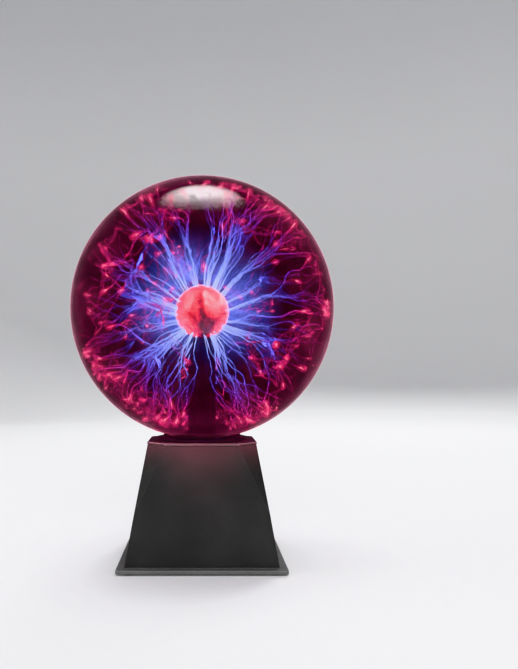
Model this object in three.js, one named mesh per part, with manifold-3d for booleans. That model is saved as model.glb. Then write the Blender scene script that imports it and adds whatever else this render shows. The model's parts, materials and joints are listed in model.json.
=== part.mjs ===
// Plasma ball: a sealed glass globe on a tapered base that holds the high-voltage drive.
// Millimetres, +Z up. The origin is on the table, under the middle of the globe.
// The front of the object faces -Y; the inlet and the mode switch are in the back wall, at +Y.

import * as THREE from 'three';
import { ConvexGeometry } from 'three/addons/geometries/ConvexGeometry.js';
import { mergeVertices } from 'three/addons/utils/BufferGeometryUtils.js';
import Module from 'manifold-3d';

const wasm = await Module();
wasm.setup();

// ---------------------------------------------------------------- driving dimensions

const FIT = 0.3;                 // gap between pieces that touch

const GLOBE_R = 100;             // an 8 inch globe
const GLOBE_WALL = 2;
const GLOBE_Z = 187.5;           // height of the globe's centre
const NECK_R = 22;
const NECK_END_Z = 64;

const ELECTRODE_R = 20;
const ELECTRODE_WALL = 1.2;
const ELECTRODE_Z = GLOBE_Z - 3;

const STEM_R = 5.5;              // glass tube that carries the electrode
const STEM_BORE_R = 4;
const STALK_R = 10.6;            // black sleeve round the stem
const STALK_TOP_R = 6.5;

const FOOT_R = 6;
const FOOT_PROUD = 1.2;          // how far the feet stand out of the base plate
const FOOT_RECESS = 0.8;
const FOOT_AT = 50;

const PLATE_SIZE = 118;
const PLATE_T = 2.4;
const PLATE_CORNER_R = 1.5;
const PLATE_Z = FOOT_PROUD;
const PLATE_TOP = PLATE_Z + PLATE_T;
const PLINTH_H = 1;              // the dark gap between the plate and the housing
const PLINTH_SIZE = 104;

const WALL = 2.2;                // wall of the moulded housing
const BODY_Z = PLATE_TOP + PLINTH_H;
const BODY_H = 81.1;
const BODY_TOP = BODY_Z + BODY_H;
const BODY_BOTTOM_HALF = 53.25;  // half the width at the bottom
const BODY_TOP_HALF = 39.65;     // half the width at the top
const FRONT_EDGE_HALF = 25.85;   // half the front face's top edge, between the corner facets
const FACET_FALL = 0.58;         // the facets run out this far down the housing
const NECK_OPENING_R = 27.3;

const TOP_PLATE_T = 1.8;
const TOP_PLATE_LAP = 0.4;       // the top plate stands this far proud of the housing
const COLLAR_R = 35;
const SPIGOT_R = 27;             // the collar's spigot goes down through the top plate
const SPIGOT_BORE_R = 24.5;

const BOSS_AT = 41;              // screw bosses, in both directions from the middle
const BOSS_R = 4.5;
const SCREW_R = 1.5;
const SCREW_HEAD_R = 3;

const BOARD_W = 76;
const BOARD_D = 56;
const BOARD_Y = -4;
const BOARD_T = 1.6;
const BOARD_Z = 12.3;
const BOARD_TOP = BOARD_Z + BOARD_T;
const STANDOFF_R = 3.2;

const REAR_Z = 30;               // height of the switch and the inlet in the back wall
const REAR_SPACING = 17;         // how far each is from the middle

// ---------------------------------------------------------------- shapes

const TURNED = 16;               // sides of small turned pieces

// A closed geometry as a manifold solid.
function solid(geometry) {
  const bare = geometry.clone();
  for (const name of Object.keys(bare.attributes)) {
    if (name !== 'position') bare.deleteAttribute(name);
  }
  const merged = mergeVertices(bare, 1e-4);
  const corners = merged.index.array;
  const kept = [];
  for (let i = 0; i < corners.length; i += 3) {
    const [a, b, c] = corners.slice(i, i + 3);
    if (a !== b && b !== c && c !== a) kept.push(a, b, c);
  }
  return new wasm.Manifold(new wasm.Mesh({
    numProp: 3,
    vertProperties: new Float32Array(merged.attributes.position.array),
    triVerts: new Uint32Array(kept),
  }));
}

function geometryOf(body) {
  const mesh = body.getMesh();
  const geometry = new THREE.BufferGeometry();
  geometry.setAttribute('position', new THREE.BufferAttribute(mesh.vertProperties, 3));
  geometry.setIndex(new THREE.BufferAttribute(mesh.triVerts, 1));
  geometry.computeVertexNormals();
  return geometry;
}

// One geometry joined from several.
const joined = (...pieces) => geometryOf(pieces.map((p) => solid(p)).reduce((a, b) => a.add(b)));

// A geometry with others cut out of it.
const cut = (piece, ...tools) =>
  geometryOf(tools.reduce((body, tool) => body.subtract(solid(tool)), solid(piece)));

const moved = (geometry, x, y, z) => geometry.clone().translate(x, y, z);

// A profile of [radius, height] pairs turned about Z. An open profile starts and ends on the
// axis; going up the outside and down the inside leaves the faces pointing out.
function turned(profile, sides = TURNED) {
  const points = profile.map(([r, z]) => new THREE.Vector2(r, z));
  return new THREE.LatheGeometry(points, sides).rotateX(Math.PI / 2);
}

// A profile that closes on itself, for rings and tubes.
const ring = (profile, sides = TURNED) => turned([...profile, profile[0]], sides);

const disc = (r, z0, z1, sides = TURNED) => turned([[0, z0], [r, z0], [r, z1], [0, z1]], sides);

const tube = (inner, outer, z0, z1, sides = TURNED) =>
  ring([[inner, z0], [outer, z0], [outer, z1], [inner, z1]], sides);

// Points [r, z] on the lower half of a circle about (0, centre), between two distances from
// the axis.
function arcPoints(centre, radius, fromR, toR, steps) {
  const from = Math.asin(fromR / radius);
  const to = Math.asin(toR / radius);
  const points = [];
  for (let i = 0; i <= steps; i++) {
    const a = from + (to - from) * i / steps;
    points.push([radius * Math.sin(a), centre - radius * Math.cos(a)]);
  }
  return points;
}

// Points of a sphere's profile from where it has radius mouthR, below, up to its top, with one
// of them on the equator.
function ballPoints(centre, radius, mouthR, steps) {
  const start = Math.asin(mouthR / radius);
  const half = Math.floor(steps / 2);
  const points = [];
  for (let i = 0; i < half; i++) {
    const a = start + (Math.PI / 2 - start) * i / half;
    points.push([radius * Math.sin(a), centre - radius * Math.cos(a)]);
  }
  for (let i = 0; i < steps - half; i++) {
    const a = Math.PI / 2 * i / (steps - half);
    points.push([radius * Math.cos(a), centre + radius * Math.sin(a)]);
  }
  points.push([0, centre + radius]);
  return points;
}

function box(width, depth, height, x, y, z) {
  return new THREE.BoxGeometry(width, depth, height).translate(x, y, z + height / 2);
}

// A full circle in the shape gets twice curveSegments sides.
function extruded(shape, z0, z1, curveSegments = 2) {
  const options = { depth: z1 - z0, bevelEnabled: false, curveSegments };
  return new THREE.ExtrudeGeometry(shape, options).translate(0, 0, z0);
}

function roundedSquare(size, r) {
  const h = size / 2;
  const shape = new THREE.Shape();
  shape.moveTo(-h + r, -h);
  shape.lineTo(h - r, -h);
  shape.absarc(h - r, -h + r, r, -Math.PI / 2, 0);
  shape.lineTo(h, h - r);
  shape.absarc(h - r, h - r, r, 0, Math.PI / 2);
  shape.lineTo(-h + r, h);
  shape.absarc(-h + r, h - r, r, Math.PI / 2, Math.PI);
  shape.lineTo(-h, -h + r);
  shape.absarc(-h + r, -h + r, r, Math.PI, Math.PI * 1.5);
  return shape;
}

function rectangle(width, height) {
  const shape = new THREE.Shape();
  shape.moveTo(-width / 2, -height / 2);
  shape.lineTo(width / 2, -height / 2);
  shape.lineTo(width / 2, height / 2);
  shape.lineTo(-width / 2, height / 2);
  shape.closePath();
  return shape;
}

// A square with cut corners: half the width, and half of each straight edge.
function octagonCorners(half, edgeHalf) {
  const corners = [];
  for (const [sx, sy] of [[1, -1], [1, 1], [-1, 1], [-1, -1]]) {
    const alongX = [sx * edgeHalf, sy * half];
    const alongY = [sx * half, sy * edgeHalf];
    corners.push(...(sx * sy < 0 ? [alongX, alongY] : [alongY, alongX]));
  }
  return corners;
}

// A round wire along a smooth curve through the given points, with an even number of sides.
function wire(points, radius, steps, sides = 6) {
  const section = new THREE.Shape();
  section.absarc(0, 0, radius, 0, Math.PI * 2);
  const path = new THREE.CatmullRomCurve3(points.map((p) => new THREE.Vector3(...p)));
  path.curveType = 'centripetal';
  const options = { extrudePath: path, steps, curveSegments: sides / 2, bevelEnabled: false };
  return new THREE.ExtrudeGeometry(section, options);
}

// ---------------------------------------------------------------- the model

const model = new THREE.Group();
model.name = 'plasma_ball';

function add(name, geometry, [color, roughness, metalness], parent = model) {
  const material = new THREE.MeshStandardMaterial({ color, roughness, metalness });
  const mesh = new THREE.Mesh(geometry, material);
  mesh.name = name;
  parent.add(mesh);
  return mesh;
}

const FINISH = {
  globe: [0x5a5560, 0.05, 0],
  clearGlass: [0xd8dde2, 0.08, 0],
  wool: [0xb0a8a8, 0.45, 0.8],
  sleeve: [0x0c0c0e, 0.4, 0],
  housing: [0x35343a, 0.6, 0],
  plate: [0x2a2a2e, 0.55, 0],
  collar: [0x17171a, 0.5, 0],
  rubber: [0x141414, 0.9, 0],
  silicone: [0xb9b4a6, 0.6, 0],
  steel: [0xa8abb0, 0.35, 0.9],
  brass: [0xc8a860, 0.35, 0.9],
  aluminium: [0xb4b7bb, 0.45, 0.85],
  board: [0x1f5a35, 0.5, 0],
  ferrite: [0x2c2c30, 0.7, 0.1],
  winding: [0xc2a23a, 0.5, 0],
  copper: [0xb5653a, 0.35, 0.8],
  blackPlastic: [0x101012, 0.4, 0],
  sleeveBlue: [0x22407a, 0.4, 0],
  insulationRed: [0xa82a22, 0.5, 0],
  insulationBlack: [0x161616, 0.5, 0],
  insulationWhite: [0xd9d7cf, 0.5, 0],
};

// ---------------------------------------------------------------- globe and electrode

const GLOBE_SIDES = 40;
const GLOBE_RINGS = 14;

// The blown globe and the straight neck tube that is fused to its mouth.
function addGlobe() {
  const outside = ballPoints(GLOBE_Z, GLOBE_R, NECK_R, GLOBE_RINGS);
  const inside = ballPoints(GLOBE_Z, GLOBE_R - GLOBE_WALL, NECK_R - GLOBE_WALL, GLOBE_RINGS);
  add('glass_globe', turned([...inside.reverse(), ...outside], GLOBE_SIDES), FINISH.globe);

  const mouthZ = GLOBE_Z - Math.sqrt(GLOBE_R ** 2 - NECK_R ** 2);
  const neck = tube(NECK_R - GLOBE_WALL, NECK_R, NECK_END_Z, mouthZ - FIT, 24);
  add('glass_neck', neck, FINISH.globe);
}

// The stem is the re-entrant tube that closes the neck and carries the electrode.
function addStem() {
  const flareR = NECK_R - GLOBE_WALL - FIT;
  const topZ = ELECTRODE_Z - 14;
  const flareZ = NECK_END_Z + 0.5;
  const profile = [
    [STEM_BORE_R, flareZ], [flareR, flareZ], [flareR, flareZ + 1.8], [STEM_R + 3, flareZ + 2.2],
    [STEM_R, flareZ + 6], [STEM_R, topZ], [STEM_BORE_R, topZ],
  ];
  add('glass_stem', ring(profile, 20), FINISH.clearGlass);
}

function addElectrode() {
  const mouthR = STEM_R + FIT;
  const innerR = ELECTRODE_R - ELECTRODE_WALL;
  const outside = ballPoints(ELECTRODE_Z, ELECTRODE_R, mouthR, 12);
  const inside = ballPoints(ELECTRODE_Z, innerR, mouthR, 12);
  add('electrode_bulb', turned([...inside.reverse(), ...outside], 24), FINISH.clearGlass);

  // Steel wool fills the bulb and sits over the end of the stem.
  const woolR = innerR - FIT;
  const seatZ = ELECTRODE_Z - 13;
  const wool = [[0, seatZ], [mouthR, seatZ], ...ballPoints(ELECTRODE_Z, woolR, mouthR, 9)];
  add('electrode_wool', turned(wool, 20), FINISH.wool);
}

function addStalkSleeve() {
  const bore = STEM_R + FIT;
  const topZ = ELECTRODE_Z - Math.sqrt(ELECTRODE_R ** 2 - bore ** 2) - 0.4;
  const flare = [[STALK_TOP_R, 0], [7.2, 5.5], [8.5, 11], [9.75, 16.5], [10.4, 22], [STALK_R, 27]];
  const outside = flare.map(([r, fall]) => [r, topZ - fall]).reverse();
  const footZ = 78;
  const profile = [[bore, footZ], [STALK_R, footZ], ...outside, [bore, topZ]];
  add('stalk_sleeve', ring(profile, 24), FINISH.sleeve);
}

// ---------------------------------------------------------------- seat of the globe

const SEAT_GASKET_T = 1;
const SEAT_GASKET_R = 29;

function addGlobeSeat() {
  const gasketTop = GLOBE_R + FIT;
  const gasketBottom = gasketTop + SEAT_GASKET_T;
  const gasketBoreR = SPIGOT_BORE_R + 1;
  const gasket = [
    ...arcPoints(GLOBE_Z, gasketBottom, gasketBoreR, SEAT_GASKET_R, 3),
    ...arcPoints(GLOBE_Z, gasketTop, gasketBoreR, SEAT_GASKET_R, 3).reverse(),
  ];
  add('seat_gasket', ring(gasket, 36), FINISH.rubber);

  // The collar is dished to the globe under the gasket, slopes down to a low rim outside it and
  // has a spigot below.
  const seatR = gasketBottom + FIT;
  const collarZ = BODY_TOP + TOP_PLATE_T + FIT;
  const seat = arcPoints(GLOBE_Z, seatR, SPIGOT_BORE_R, SEAT_GASKET_R + 1, 4).reverse();
  const collar = [
    [SPIGOT_BORE_R, BODY_TOP - 5], [SPIGOT_R, BODY_TOP - 5], [SPIGOT_R, collarZ],
    [COLLAR_R, collarZ], [COLLAR_R, collarZ + 1.2], [COLLAR_R - 0.8, collarZ + 1.7], ...seat,
  ];
  add('collar_ring', ring(collar, 36), FINISH.collar);

  const bead = tube(NECK_R + FIT, SPIGOT_BORE_R - FIT, BODY_TOP - 5, BODY_TOP + 0.5, 24);
  add('neck_sealant_bead', bead, FINISH.silicone);

  const bootTop = NECK_END_Z + 10;
  const bootFloor = NECK_END_Z - FIT;
  const boot = ring([
    [2.6, bootFloor - 3.5], [NECK_R + 1.2, bootFloor - 3.5], [NECK_R + 2.2, bootFloor - 2.5],
    [NECK_R + 2.2, bootTop], [NECK_R + FIT, bootTop], [NECK_R + FIT, bootFloor], [2.6, bootFloor],
  ], 24);
  add('neck_boot', boot, FINISH.silicone);
}

// ---------------------------------------------------------------- housing

// The tapered block with its four corner facets, inset on every side and between two heights.
function taperedBlock(inset, z0, z1) {
  const halfAt = (z) => {
    const up = (z - BODY_Z) / BODY_H;
    return BODY_BOTTOM_HALF + (BODY_TOP_HALF - BODY_BOTTOM_HALF) * up - inset;
  };
  const edgeInset = inset * Math.tan(Math.PI / 8);
  const tipZ = BODY_TOP - BODY_H * FACET_FALL;
  const points = [];
  for (const [x, y] of octagonCorners(halfAt(z1), FRONT_EDGE_HALF - edgeInset)) {
    points.push(new THREE.Vector3(x, y, z1));
  }
  for (const z of [tipZ, z0]) {
    for (const [sx, sy] of [[1, 1], [1, -1], [-1, 1], [-1, -1]]) {
      points.push(new THREE.Vector3(sx * halfAt(z), sy * halfAt(z), z));
    }
  }
  return new ConvexGeometry(points);
}

// The back wall's frame: X to the right as seen from behind, Y up the wall, Z out of it.
const wallTilt = Math.atan((BODY_BOTTOM_HALF - BODY_TOP_HALF) / BODY_H);
const rearY = BODY_BOTTOM_HALF - (REAR_Z - BODY_Z) * Math.tan(wallTilt);
const rearPanel = new THREE.Group();
rearPanel.position.set(0, rearY, REAR_Z);
rearPanel.setRotationFromMatrix(new THREE.Matrix4().makeBasis(
  new THREE.Vector3(-1, 0, 0),
  new THREE.Vector3(0, -Math.sin(wallTilt), Math.cos(wallTilt)),
  new THREE.Vector3(0, Math.cos(wallTilt), Math.sin(wallTilt)),
));
rearPanel.updateMatrix();
model.add(rearPanel);

const onRearPanel = (geometry) => geometry.clone().applyMatrix4(rearPanel.matrix);

const SWITCH = { x: -REAR_SPACING, bodyW: 13, bodyL: 18.8, bezelW: 15, bezelL: 21, bezelT: 2 };
const JACK = { x: REAR_SPACING, barrelR: 3.9, flangeR: 5.5, boreR: 2.9, pinR: 1 };

function addHousing() {
  const shell = solid(taperedBlock(0, BODY_Z, BODY_TOP));
  const hollow = solid(taperedBlock(WALL, BODY_Z - 1, BODY_TOP - WALL));
  const bossTop = 34;
  const bossFoot = PLATE_TOP + 3.8;
  let bosses = null;
  for (const sx of [-1, 1]) {
    for (const sy of [-1, 1]) {
      const post = moved(disc(BOSS_R, bossFoot, bossTop), sx * BOSS_AT, sy * BOSS_AT, 0);
      const webAt = BOSS_AT + 4;
      const webHeight = bossTop - bossFoot;
      const webX = box(10, 2, webHeight, sx * webAt, sy * BOSS_AT, bossFoot);
      const webY = box(2, 10, webHeight, sx * BOSS_AT, sy * webAt, bossFoot);
      const boss = solid(joined(post, webX, webY));
      bosses = bosses ? bosses.add(boss) : boss;
    }
  }
  let body = shell.subtract(hollow).add(bosses.intersect(shell));
  for (const sx of [-1, 1]) {
    for (const sy of [-1, 1]) {
      const pilot = disc(SCREW_R + FIT, bossFoot - 1, bossFoot + 16, 12);
      body = body.subtract(solid(moved(pilot, sx * BOSS_AT, sy * BOSS_AT, 0)));
    }
  }
  body = body.subtract(solid(disc(NECK_OPENING_R, BODY_TOP - WALL - 2, BODY_TOP + 2, 36)));
  const switchHole = box(SWITCH.bodyW + 2 * FIT, SWITCH.bodyL + 2 * FIT, 12, SWITCH.x, 0, -6);
  const jackHole = moved(disc(JACK.barrelR + FIT, -6, 6), JACK.x, 0, 0);
  body = body.subtract(solid(onRearPanel(switchHole))).subtract(solid(onRearPanel(jackHole)));
  add('body_housing', geometryOf(body), FINISH.housing);
}

function addTopPlate() {
  const half = BODY_TOP_HALF + TOP_PLATE_LAP;
  const edgeHalf = FRONT_EDGE_HALF + TOP_PLATE_LAP * Math.tan(Math.PI / 8);
  const outline = new THREE.Shape(octagonCorners(half, edgeHalf).map((p) => new THREE.Vector2(...p)));
  const opening = new THREE.Path();
  opening.absarc(0, 0, NECK_OPENING_R, 0, Math.PI * 2);
  outline.holes.push(opening);
  const z0 = BODY_TOP + FIT;
  add('top_plate', extruded(outline, z0, z0 + TOP_PLATE_T - FIT, 18), FINISH.housing);
}

// ---------------------------------------------------------------- base plate, feet, screws

const BOSS_PAD_Z = PLATE_TOP + 3.5;      // the plate's pads that the bosses stand on
const HEAD_RECESS_TOP = PLATE_Z + 3.2;

const standoffAt = [];
for (const sx of [-1, 1]) {
  for (const sy of [-1, 1]) {
    standoffAt.push([sx * (BOARD_W / 2 - 4), BOARD_Y + sy * (BOARD_D / 2 - 4)]);
  }
}

const cornersAt = (distance) =>
  [[-1, -1], [1, -1], [-1, 1], [1, 1]].map(([sx, sy]) => [sx * distance, sy * distance]);

function addBasePlate() {
  const locatorHalf = BODY_BOTTOM_HALF - WALL - 0.8;
  const locatorW = 1.8;
  const locatorTop = BODY_Z + 2.4;
  const rib = rectangle(2 * locatorHalf, 2 * locatorHalf);
  rib.holes.push(rectangle(2 * (locatorHalf - locatorW), 2 * (locatorHalf - locatorW)));
  let plate = solid(extruded(roundedSquare(PLATE_SIZE, PLATE_CORNER_R), PLATE_Z, PLATE_TOP));
  const plinth = rectangle(PLINTH_SIZE, PLINTH_SIZE);
  plinth.holes.push(rectangle(2 * (locatorHalf - locatorW), 2 * (locatorHalf - locatorW)));
  plate = plate.add(solid(extruded(plinth, PLATE_TOP - 0.5, BODY_Z - FIT)));
  plate = plate.add(solid(extruded(rib, PLATE_TOP - 0.5, locatorTop)));
  for (const [x, y] of cornersAt(BOSS_AT)) {
    plate = plate.add(solid(moved(disc(5.5, PLATE_TOP - 0.5, BOSS_PAD_Z), x, y, 0)));
  }
  for (const [x, y] of standoffAt) {
    plate = plate.add(solid(moved(disc(STANDOFF_R, PLATE_TOP - 0.5, BOARD_Z - FIT, 12), x, y, 0)));
    plate = plate.subtract(solid(moved(disc(1.3, PLATE_TOP + 1, BOARD_Z + 1, 8), x, y, 0)));
  }
  for (const [x, y] of cornersAt(BOSS_AT)) {
    plate = plate.subtract(solid(moved(disc(SCREW_R + FIT, 0, BOSS_PAD_Z + 1, 12), x, y, 0)));
    plate = plate.subtract(solid(moved(disc(SCREW_HEAD_R + FIT, 0, HEAD_RECESS_TOP), x, y, 0)));
  }
  for (const [x, y] of cornersAt(FOOT_AT)) {
    const recess = disc(FOOT_R + FIT, PLATE_Z - 1, PLATE_Z + FOOT_RECESS + FIT);
    plate = plate.subtract(solid(moved(recess, x, y, 0)));
  }
  const ventPitch = 8;
  for (const row of [-1, 1]) {
    for (let i = -2; i <= 2; i++) {
      plate = plate.subtract(solid(box(2.4, 16, 8, i * ventPitch, row * 13, -1)));
    }
  }
  add('base_plate', geometryOf(plate), FINISH.plate);
}

const SIDES_NAMED = ['front_left', 'front_right', 'rear_left', 'rear_right'];

function addFeetAndScrews() {
  const footTop = PLATE_Z + FOOT_RECESS;
  const foot = turned([[0, 0], [FOOT_R - 0.6, 0], [FOOT_R, 0.6], [FOOT_R, footTop], [0, footTop]]);
  const headTop = HEAD_RECESS_TOP - FIT;
  const screw = turned([
    [0, headTop - 2], [SCREW_HEAD_R - 0.8, headTop - 2], [SCREW_HEAD_R, headTop - 1.2],
    [SCREW_HEAD_R, headTop], [SCREW_R, headTop], [SCREW_R, headTop + 14.5], [0, headTop + 16],
  ], 12);
  cornersAt(FOOT_AT).forEach(([x, y], i) => {
    add(`foot_${SIDES_NAMED[i]}`, foot, FINISH.rubber).position.set(x, y, 0);
  });
  cornersAt(BOSS_AT).forEach(([x, y], i) => {
    add(`base_screw_${SIDES_NAMED[i]}`, screw, FINISH.steel).position.set(x, y, 0);
  });
}

// ---------------------------------------------------------------- circuit board

const PARTS_Z = BOARD_TOP + FIT;         // underside of what is fitted on the board

function addBoard() {
  const outline = rectangle(BOARD_W, BOARD_D);
  for (const [x, y] of standoffAt) {
    const hole = new THREE.Path();
    hole.absarc(x, y - BOARD_Y, 1.6, 0, Math.PI * 2);
    outline.holes.push(hole);
  }
  add('circuit_board', extruded(outline, 0, BOARD_T, 4), FINISH.board).position.set(0, BOARD_Y, BOARD_Z);
  const screw = turned([
    [0, BOARD_Z - 5], [1, BOARD_Z - 5], [1, PARTS_Z], [2.4, PARTS_Z], [2.4, PARTS_Z + 1.4],
    [0, PARTS_Z + 1.8],
  ], 10);
  standoffAt.forEach(([x, y], i) => {
    add(`board_screw_${i + 1}`, screw, FINISH.steel).position.set(x, y, 0);
  });
}

const CORE = { x: -10, y: -6, width: 34, height: 30, leg: 7 };
const legX = CORE.width / 2 - CORE.leg / 2;

// The step-up transformer: a square loop of ferrite with a winding on each leg.
function addTransformer() {
  const outline = rectangle(CORE.width, CORE.height);
  outline.holes.push(rectangle(CORE.width - 2 * CORE.leg, CORE.height - 2 * CORE.leg));
  const loop = extruded(outline, -CORE.leg / 2, CORE.leg / 2).rotateX(Math.PI / 2);
  const coreMesh = add('transformer_core', loop, FINISH.ferrite);
  coreMesh.position.set(CORE.x, CORE.y, PARTS_Z + CORE.height / 2);

  const windowZ = PARTS_Z + CORE.leg + FIT;
  const windowTop = PARTS_Z + CORE.height - CORE.leg - FIT;
  const boreR = CORE.leg / Math.SQRT2 + FIT + 0.15;
  const secondary = tube(boreR, 10.5, windowZ, windowTop, 20);
  add('secondary_winding', secondary, FINISH.winding).position.set(CORE.x - legX, CORE.y, 0);
  const primary = tube(boreR, 7.4, windowZ + 1, windowTop - 1, 16);
  add('primary_winding', primary, FINISH.copper).position.set(CORE.x + legX, CORE.y, 0);
}

const HEATSINK_X = 21.5;

function addSwitchingStage() {
  // A comb of fins, drawn from above and stood on its end.
  const backT = 2;
  const finL = 9;
  const finPitch = 6;
  const fins = 5;
  const depth = (fins - 1) * finPitch + 1.4;
  const comb = [[0, -depth / 2], [backT + finL, -depth / 2]];
  for (let i = 0; i < fins; i++) {
    const y = -depth / 2 + i * finPitch;
    if (i > 0) comb.push([backT, y], [backT + finL, y]);
    comb.push([backT + finL, y + 1.4]);
    if (i < fins - 1) comb.push([backT, y + 1.4]);
  }
  comb.push([0, depth / 2]);
  const shape = new THREE.Shape(comb.map((p) => new THREE.Vector2(...p)));
  const hole = new THREE.CylinderGeometry(1.9, 1.9, 8, 12).rotateZ(Math.PI / 2);
  const sinkHeight = 26;
  const tabHoleZ = 17.5;
  const sink = cut(extruded(shape, 0, sinkHeight), moved(hole, 0, 0, tabHoleZ));
  add('heat_sink', sink, FINISH.aluminium).position.set(HEATSINK_X, CORE.y, PARTS_Z);

  // TO-220 outline: a moulded block on a metal tab, here as one body.
  const block = box(4.4, 10, 9.2, -2.2, 0, 5);
  const tab = box(1.4, 10, 16, -0.7, 0, 5);
  const leads = [-2.54, 0, 2.54].map((y) => box(0.6, 0.8, 6, -2.6, y, 0.05));
  const device = joined(block, tab, ...leads);
  const through = moved(hole, 0, 0, tabHoleZ);
  const transistor = add('switching_transistor', cut(device, through), FINISH.blackPlastic);
  transistor.position.set(HEATSINK_X - FIT, CORE.y, PARTS_Z);

  const screw = turned([
    [0, -1.8], [2.9, -1.8], [2.9, 0], [1.5, 0], [1.5, 5], [0, 5],
  ], 12).rotateY(Math.PI / 2);
  const screwMesh = add('heat_sink_screw', screw, FINISH.steel);
  screwMesh.position.set(HEATSINK_X - FIT - 1.4 - FIT, CORE.y, PARTS_Z + tabHoleZ);
}

function capacitor(radius, height) {
  return turned([
    [0, 0], [radius - 0.5, 0], [radius, 0.5], [radius, 1.4], [radius - 0.4, 2], [radius, 2.6],
    [radius, height - 0.5], [radius - 0.5, height], [0, height],
  ]);
}

function addSmallComponents() {
  const reservoir = add('reservoir_capacitor', capacitor(5, 20), FINISH.sleeveBlue);
  reservoir.position.set(15, 14, PARTS_Z);
  const timing = add('timing_capacitor', capacitor(3.2, 11.5), FINISH.blackPlastic);
  timing.position.set(16, -24, PARTS_Z);

  const chip = box(9.6, 6.4, 3.4, 0, 0, 0.6);
  const pins = [];
  for (const side of [-1, 1]) {
    for (let i = 0; i < 4; i++) {
      pins.push(box(0.6, 1, 2.4, (i - 1.5) * 2.54, side * 3.6, 0));
    }
  }
  const chipMesh = add('oscillator_chip', joined(chip, ...pins), FINISH.blackPlastic);
  chipMesh.position.set(2, -24, PARTS_Z);

  const capsule = turned([[0, 0], [4.85, 0], [4.85, 6], [4.3, 6.5], [0, 6.5]]);
  add('microphone_capsule', capsule, FINISH.aluminium).position.set(-10, 16, PARTS_Z);
}

// ---------------------------------------------------------------- back wall: inlet and switch

function addInlet() {
  const { x, barrelR, flangeR, boreR, pinR } = JACK;
  const pinHoleR = pinR + FIT;
  const barrel = ring([
    [pinHoleR, -12], [barrelR, -12], [barrelR, FIT], [flangeR, FIT], [flangeR, FIT + 0.7],
    [flangeR - 0.5, FIT + 1.2], [boreR, FIT + 1.2], [boreR, -9], [pinHoleR, -9],
  ], 20);
  add('inlet_jack', barrel, FINISH.blackPlastic, rearPanel).position.set(x, 0, 0);
  const pin = turned([[0, -14.5], [pinR, -14.5], [pinR, -0.8], [0.5, -0.3], [0, -0.3]], 10);
  add('inlet_pin', pin, FINISH.brass, rearPanel).position.set(x, 0, 0);

  const hexagon = new THREE.Shape();
  const nutR = 6.4;
  for (let i = 0; i < 6; i++) {
    const a = i * Math.PI / 3;
    const corner = [nutR * Math.cos(a), nutR * Math.sin(a)];
    if (i === 0) hexagon.moveTo(...corner);
    else hexagon.lineTo(...corner);
  }
  const threadHole = new THREE.Path();
  threadHole.absarc(0, 0, barrelR + FIT, 0, Math.PI * 2);
  hexagon.holes.push(threadHole);
  const nutZ = -WALL - FIT;
  add('inlet_nut', extruded(hexagon, nutZ - 2, nutZ, 8), FINISH.steel, rearPanel)
    .position.set(x, 0, 0);
}

// The rocker turns on a pin across the switch. Its ends are arcs about that pin, so they keep
// the same clearance to the bezel at every angle.
const PIVOT_Z = 0.5;
const ROCKER_END_R = 8.5;
const ROCKER_HALF_W = 5;
const POCKET_HALF_W = ROCKER_HALF_W + FIT;
const PIN_R = 1;
const PIN_HALF_L = 5.8;

function alongPin(radius, halfLength, sides) {
  return new THREE.CylinderGeometry(radius, radius, 2 * halfLength, sides).rotateZ(Math.PI / 2);
}

function addModeSwitch() {
  const { x, bodyW, bodyL, bezelW, bezelL, bezelT } = SWITCH;
  const faceZ = FIT + bezelT;
  const bezel = box(bezelW, bezelL, bezelT, 0, 0, FIT);
  const body = box(bodyW, bodyL, 14.2 + FIT, 0, 0, -14);
  const pocketL = 2 * (ROCKER_END_R + 0.35);
  const pocket = box(2 * POCKET_HALF_W, pocketL, faceZ + 5, 0, 0, -4);
  const pinHole = moved(alongPin(PIN_R + 0.25, PIN_HALF_L + FIT, 12), 0, 0, PIVOT_Z);
  const housing = geometryOf(solid(joined(bezel, body)).subtract(solid(pocket)).subtract(solid(pinHole)));
  add('switch_housing', housing, FINISH.blackPlastic, rearPanel).position.set(x, 0, 0);

  const profile = new THREE.Shape();
  const low = THREE.MathUtils.degToRad(-8);
  const high = THREE.MathUtils.degToRad(28);
  profile.absarc(0, 0, ROCKER_END_R, low, high);
  profile.lineTo(3, 2.9);
  profile.lineTo(0, 2.6);
  profile.lineTo(-3, 2.9);
  profile.absarc(0, 0, ROCKER_END_R, Math.PI - high, Math.PI - low);
  profile.lineTo(0, -2);
  const paddle = extruded(profile, -ROCKER_HALF_W, ROCKER_HALF_W, 5)
    .applyMatrix4(new THREE.Matrix4().makeBasis(
      new THREE.Vector3(0, 1, 0), new THREE.Vector3(0, 0, 1), new THREE.Vector3(1, 0, 0),
    ));
  const rocker = joined(paddle, alongPin(PIN_R, PIN_HALF_L, 12));
  add('mode_rocker', rocker, FINISH.blackPlastic, rearPanel).position.set(x, 0, PIVOT_Z);

  ['sound', 'common', 'on'].forEach((name, i) => {
    const terminal = box(4.8, 0.8, 6, x, (i - 1) * 5.5, -20.3);
    add(`switch_terminal_${name}`, terminal, FINISH.brass, rearPanel);
  });
}

// ---------------------------------------------------------------- leads

// Where a point of the back wall's frame lies in the model.
const fromRearPanel = (x, y, z) => new THREE.Vector3(x, y, z).applyMatrix4(rearPanel.matrix).toArray();

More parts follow.
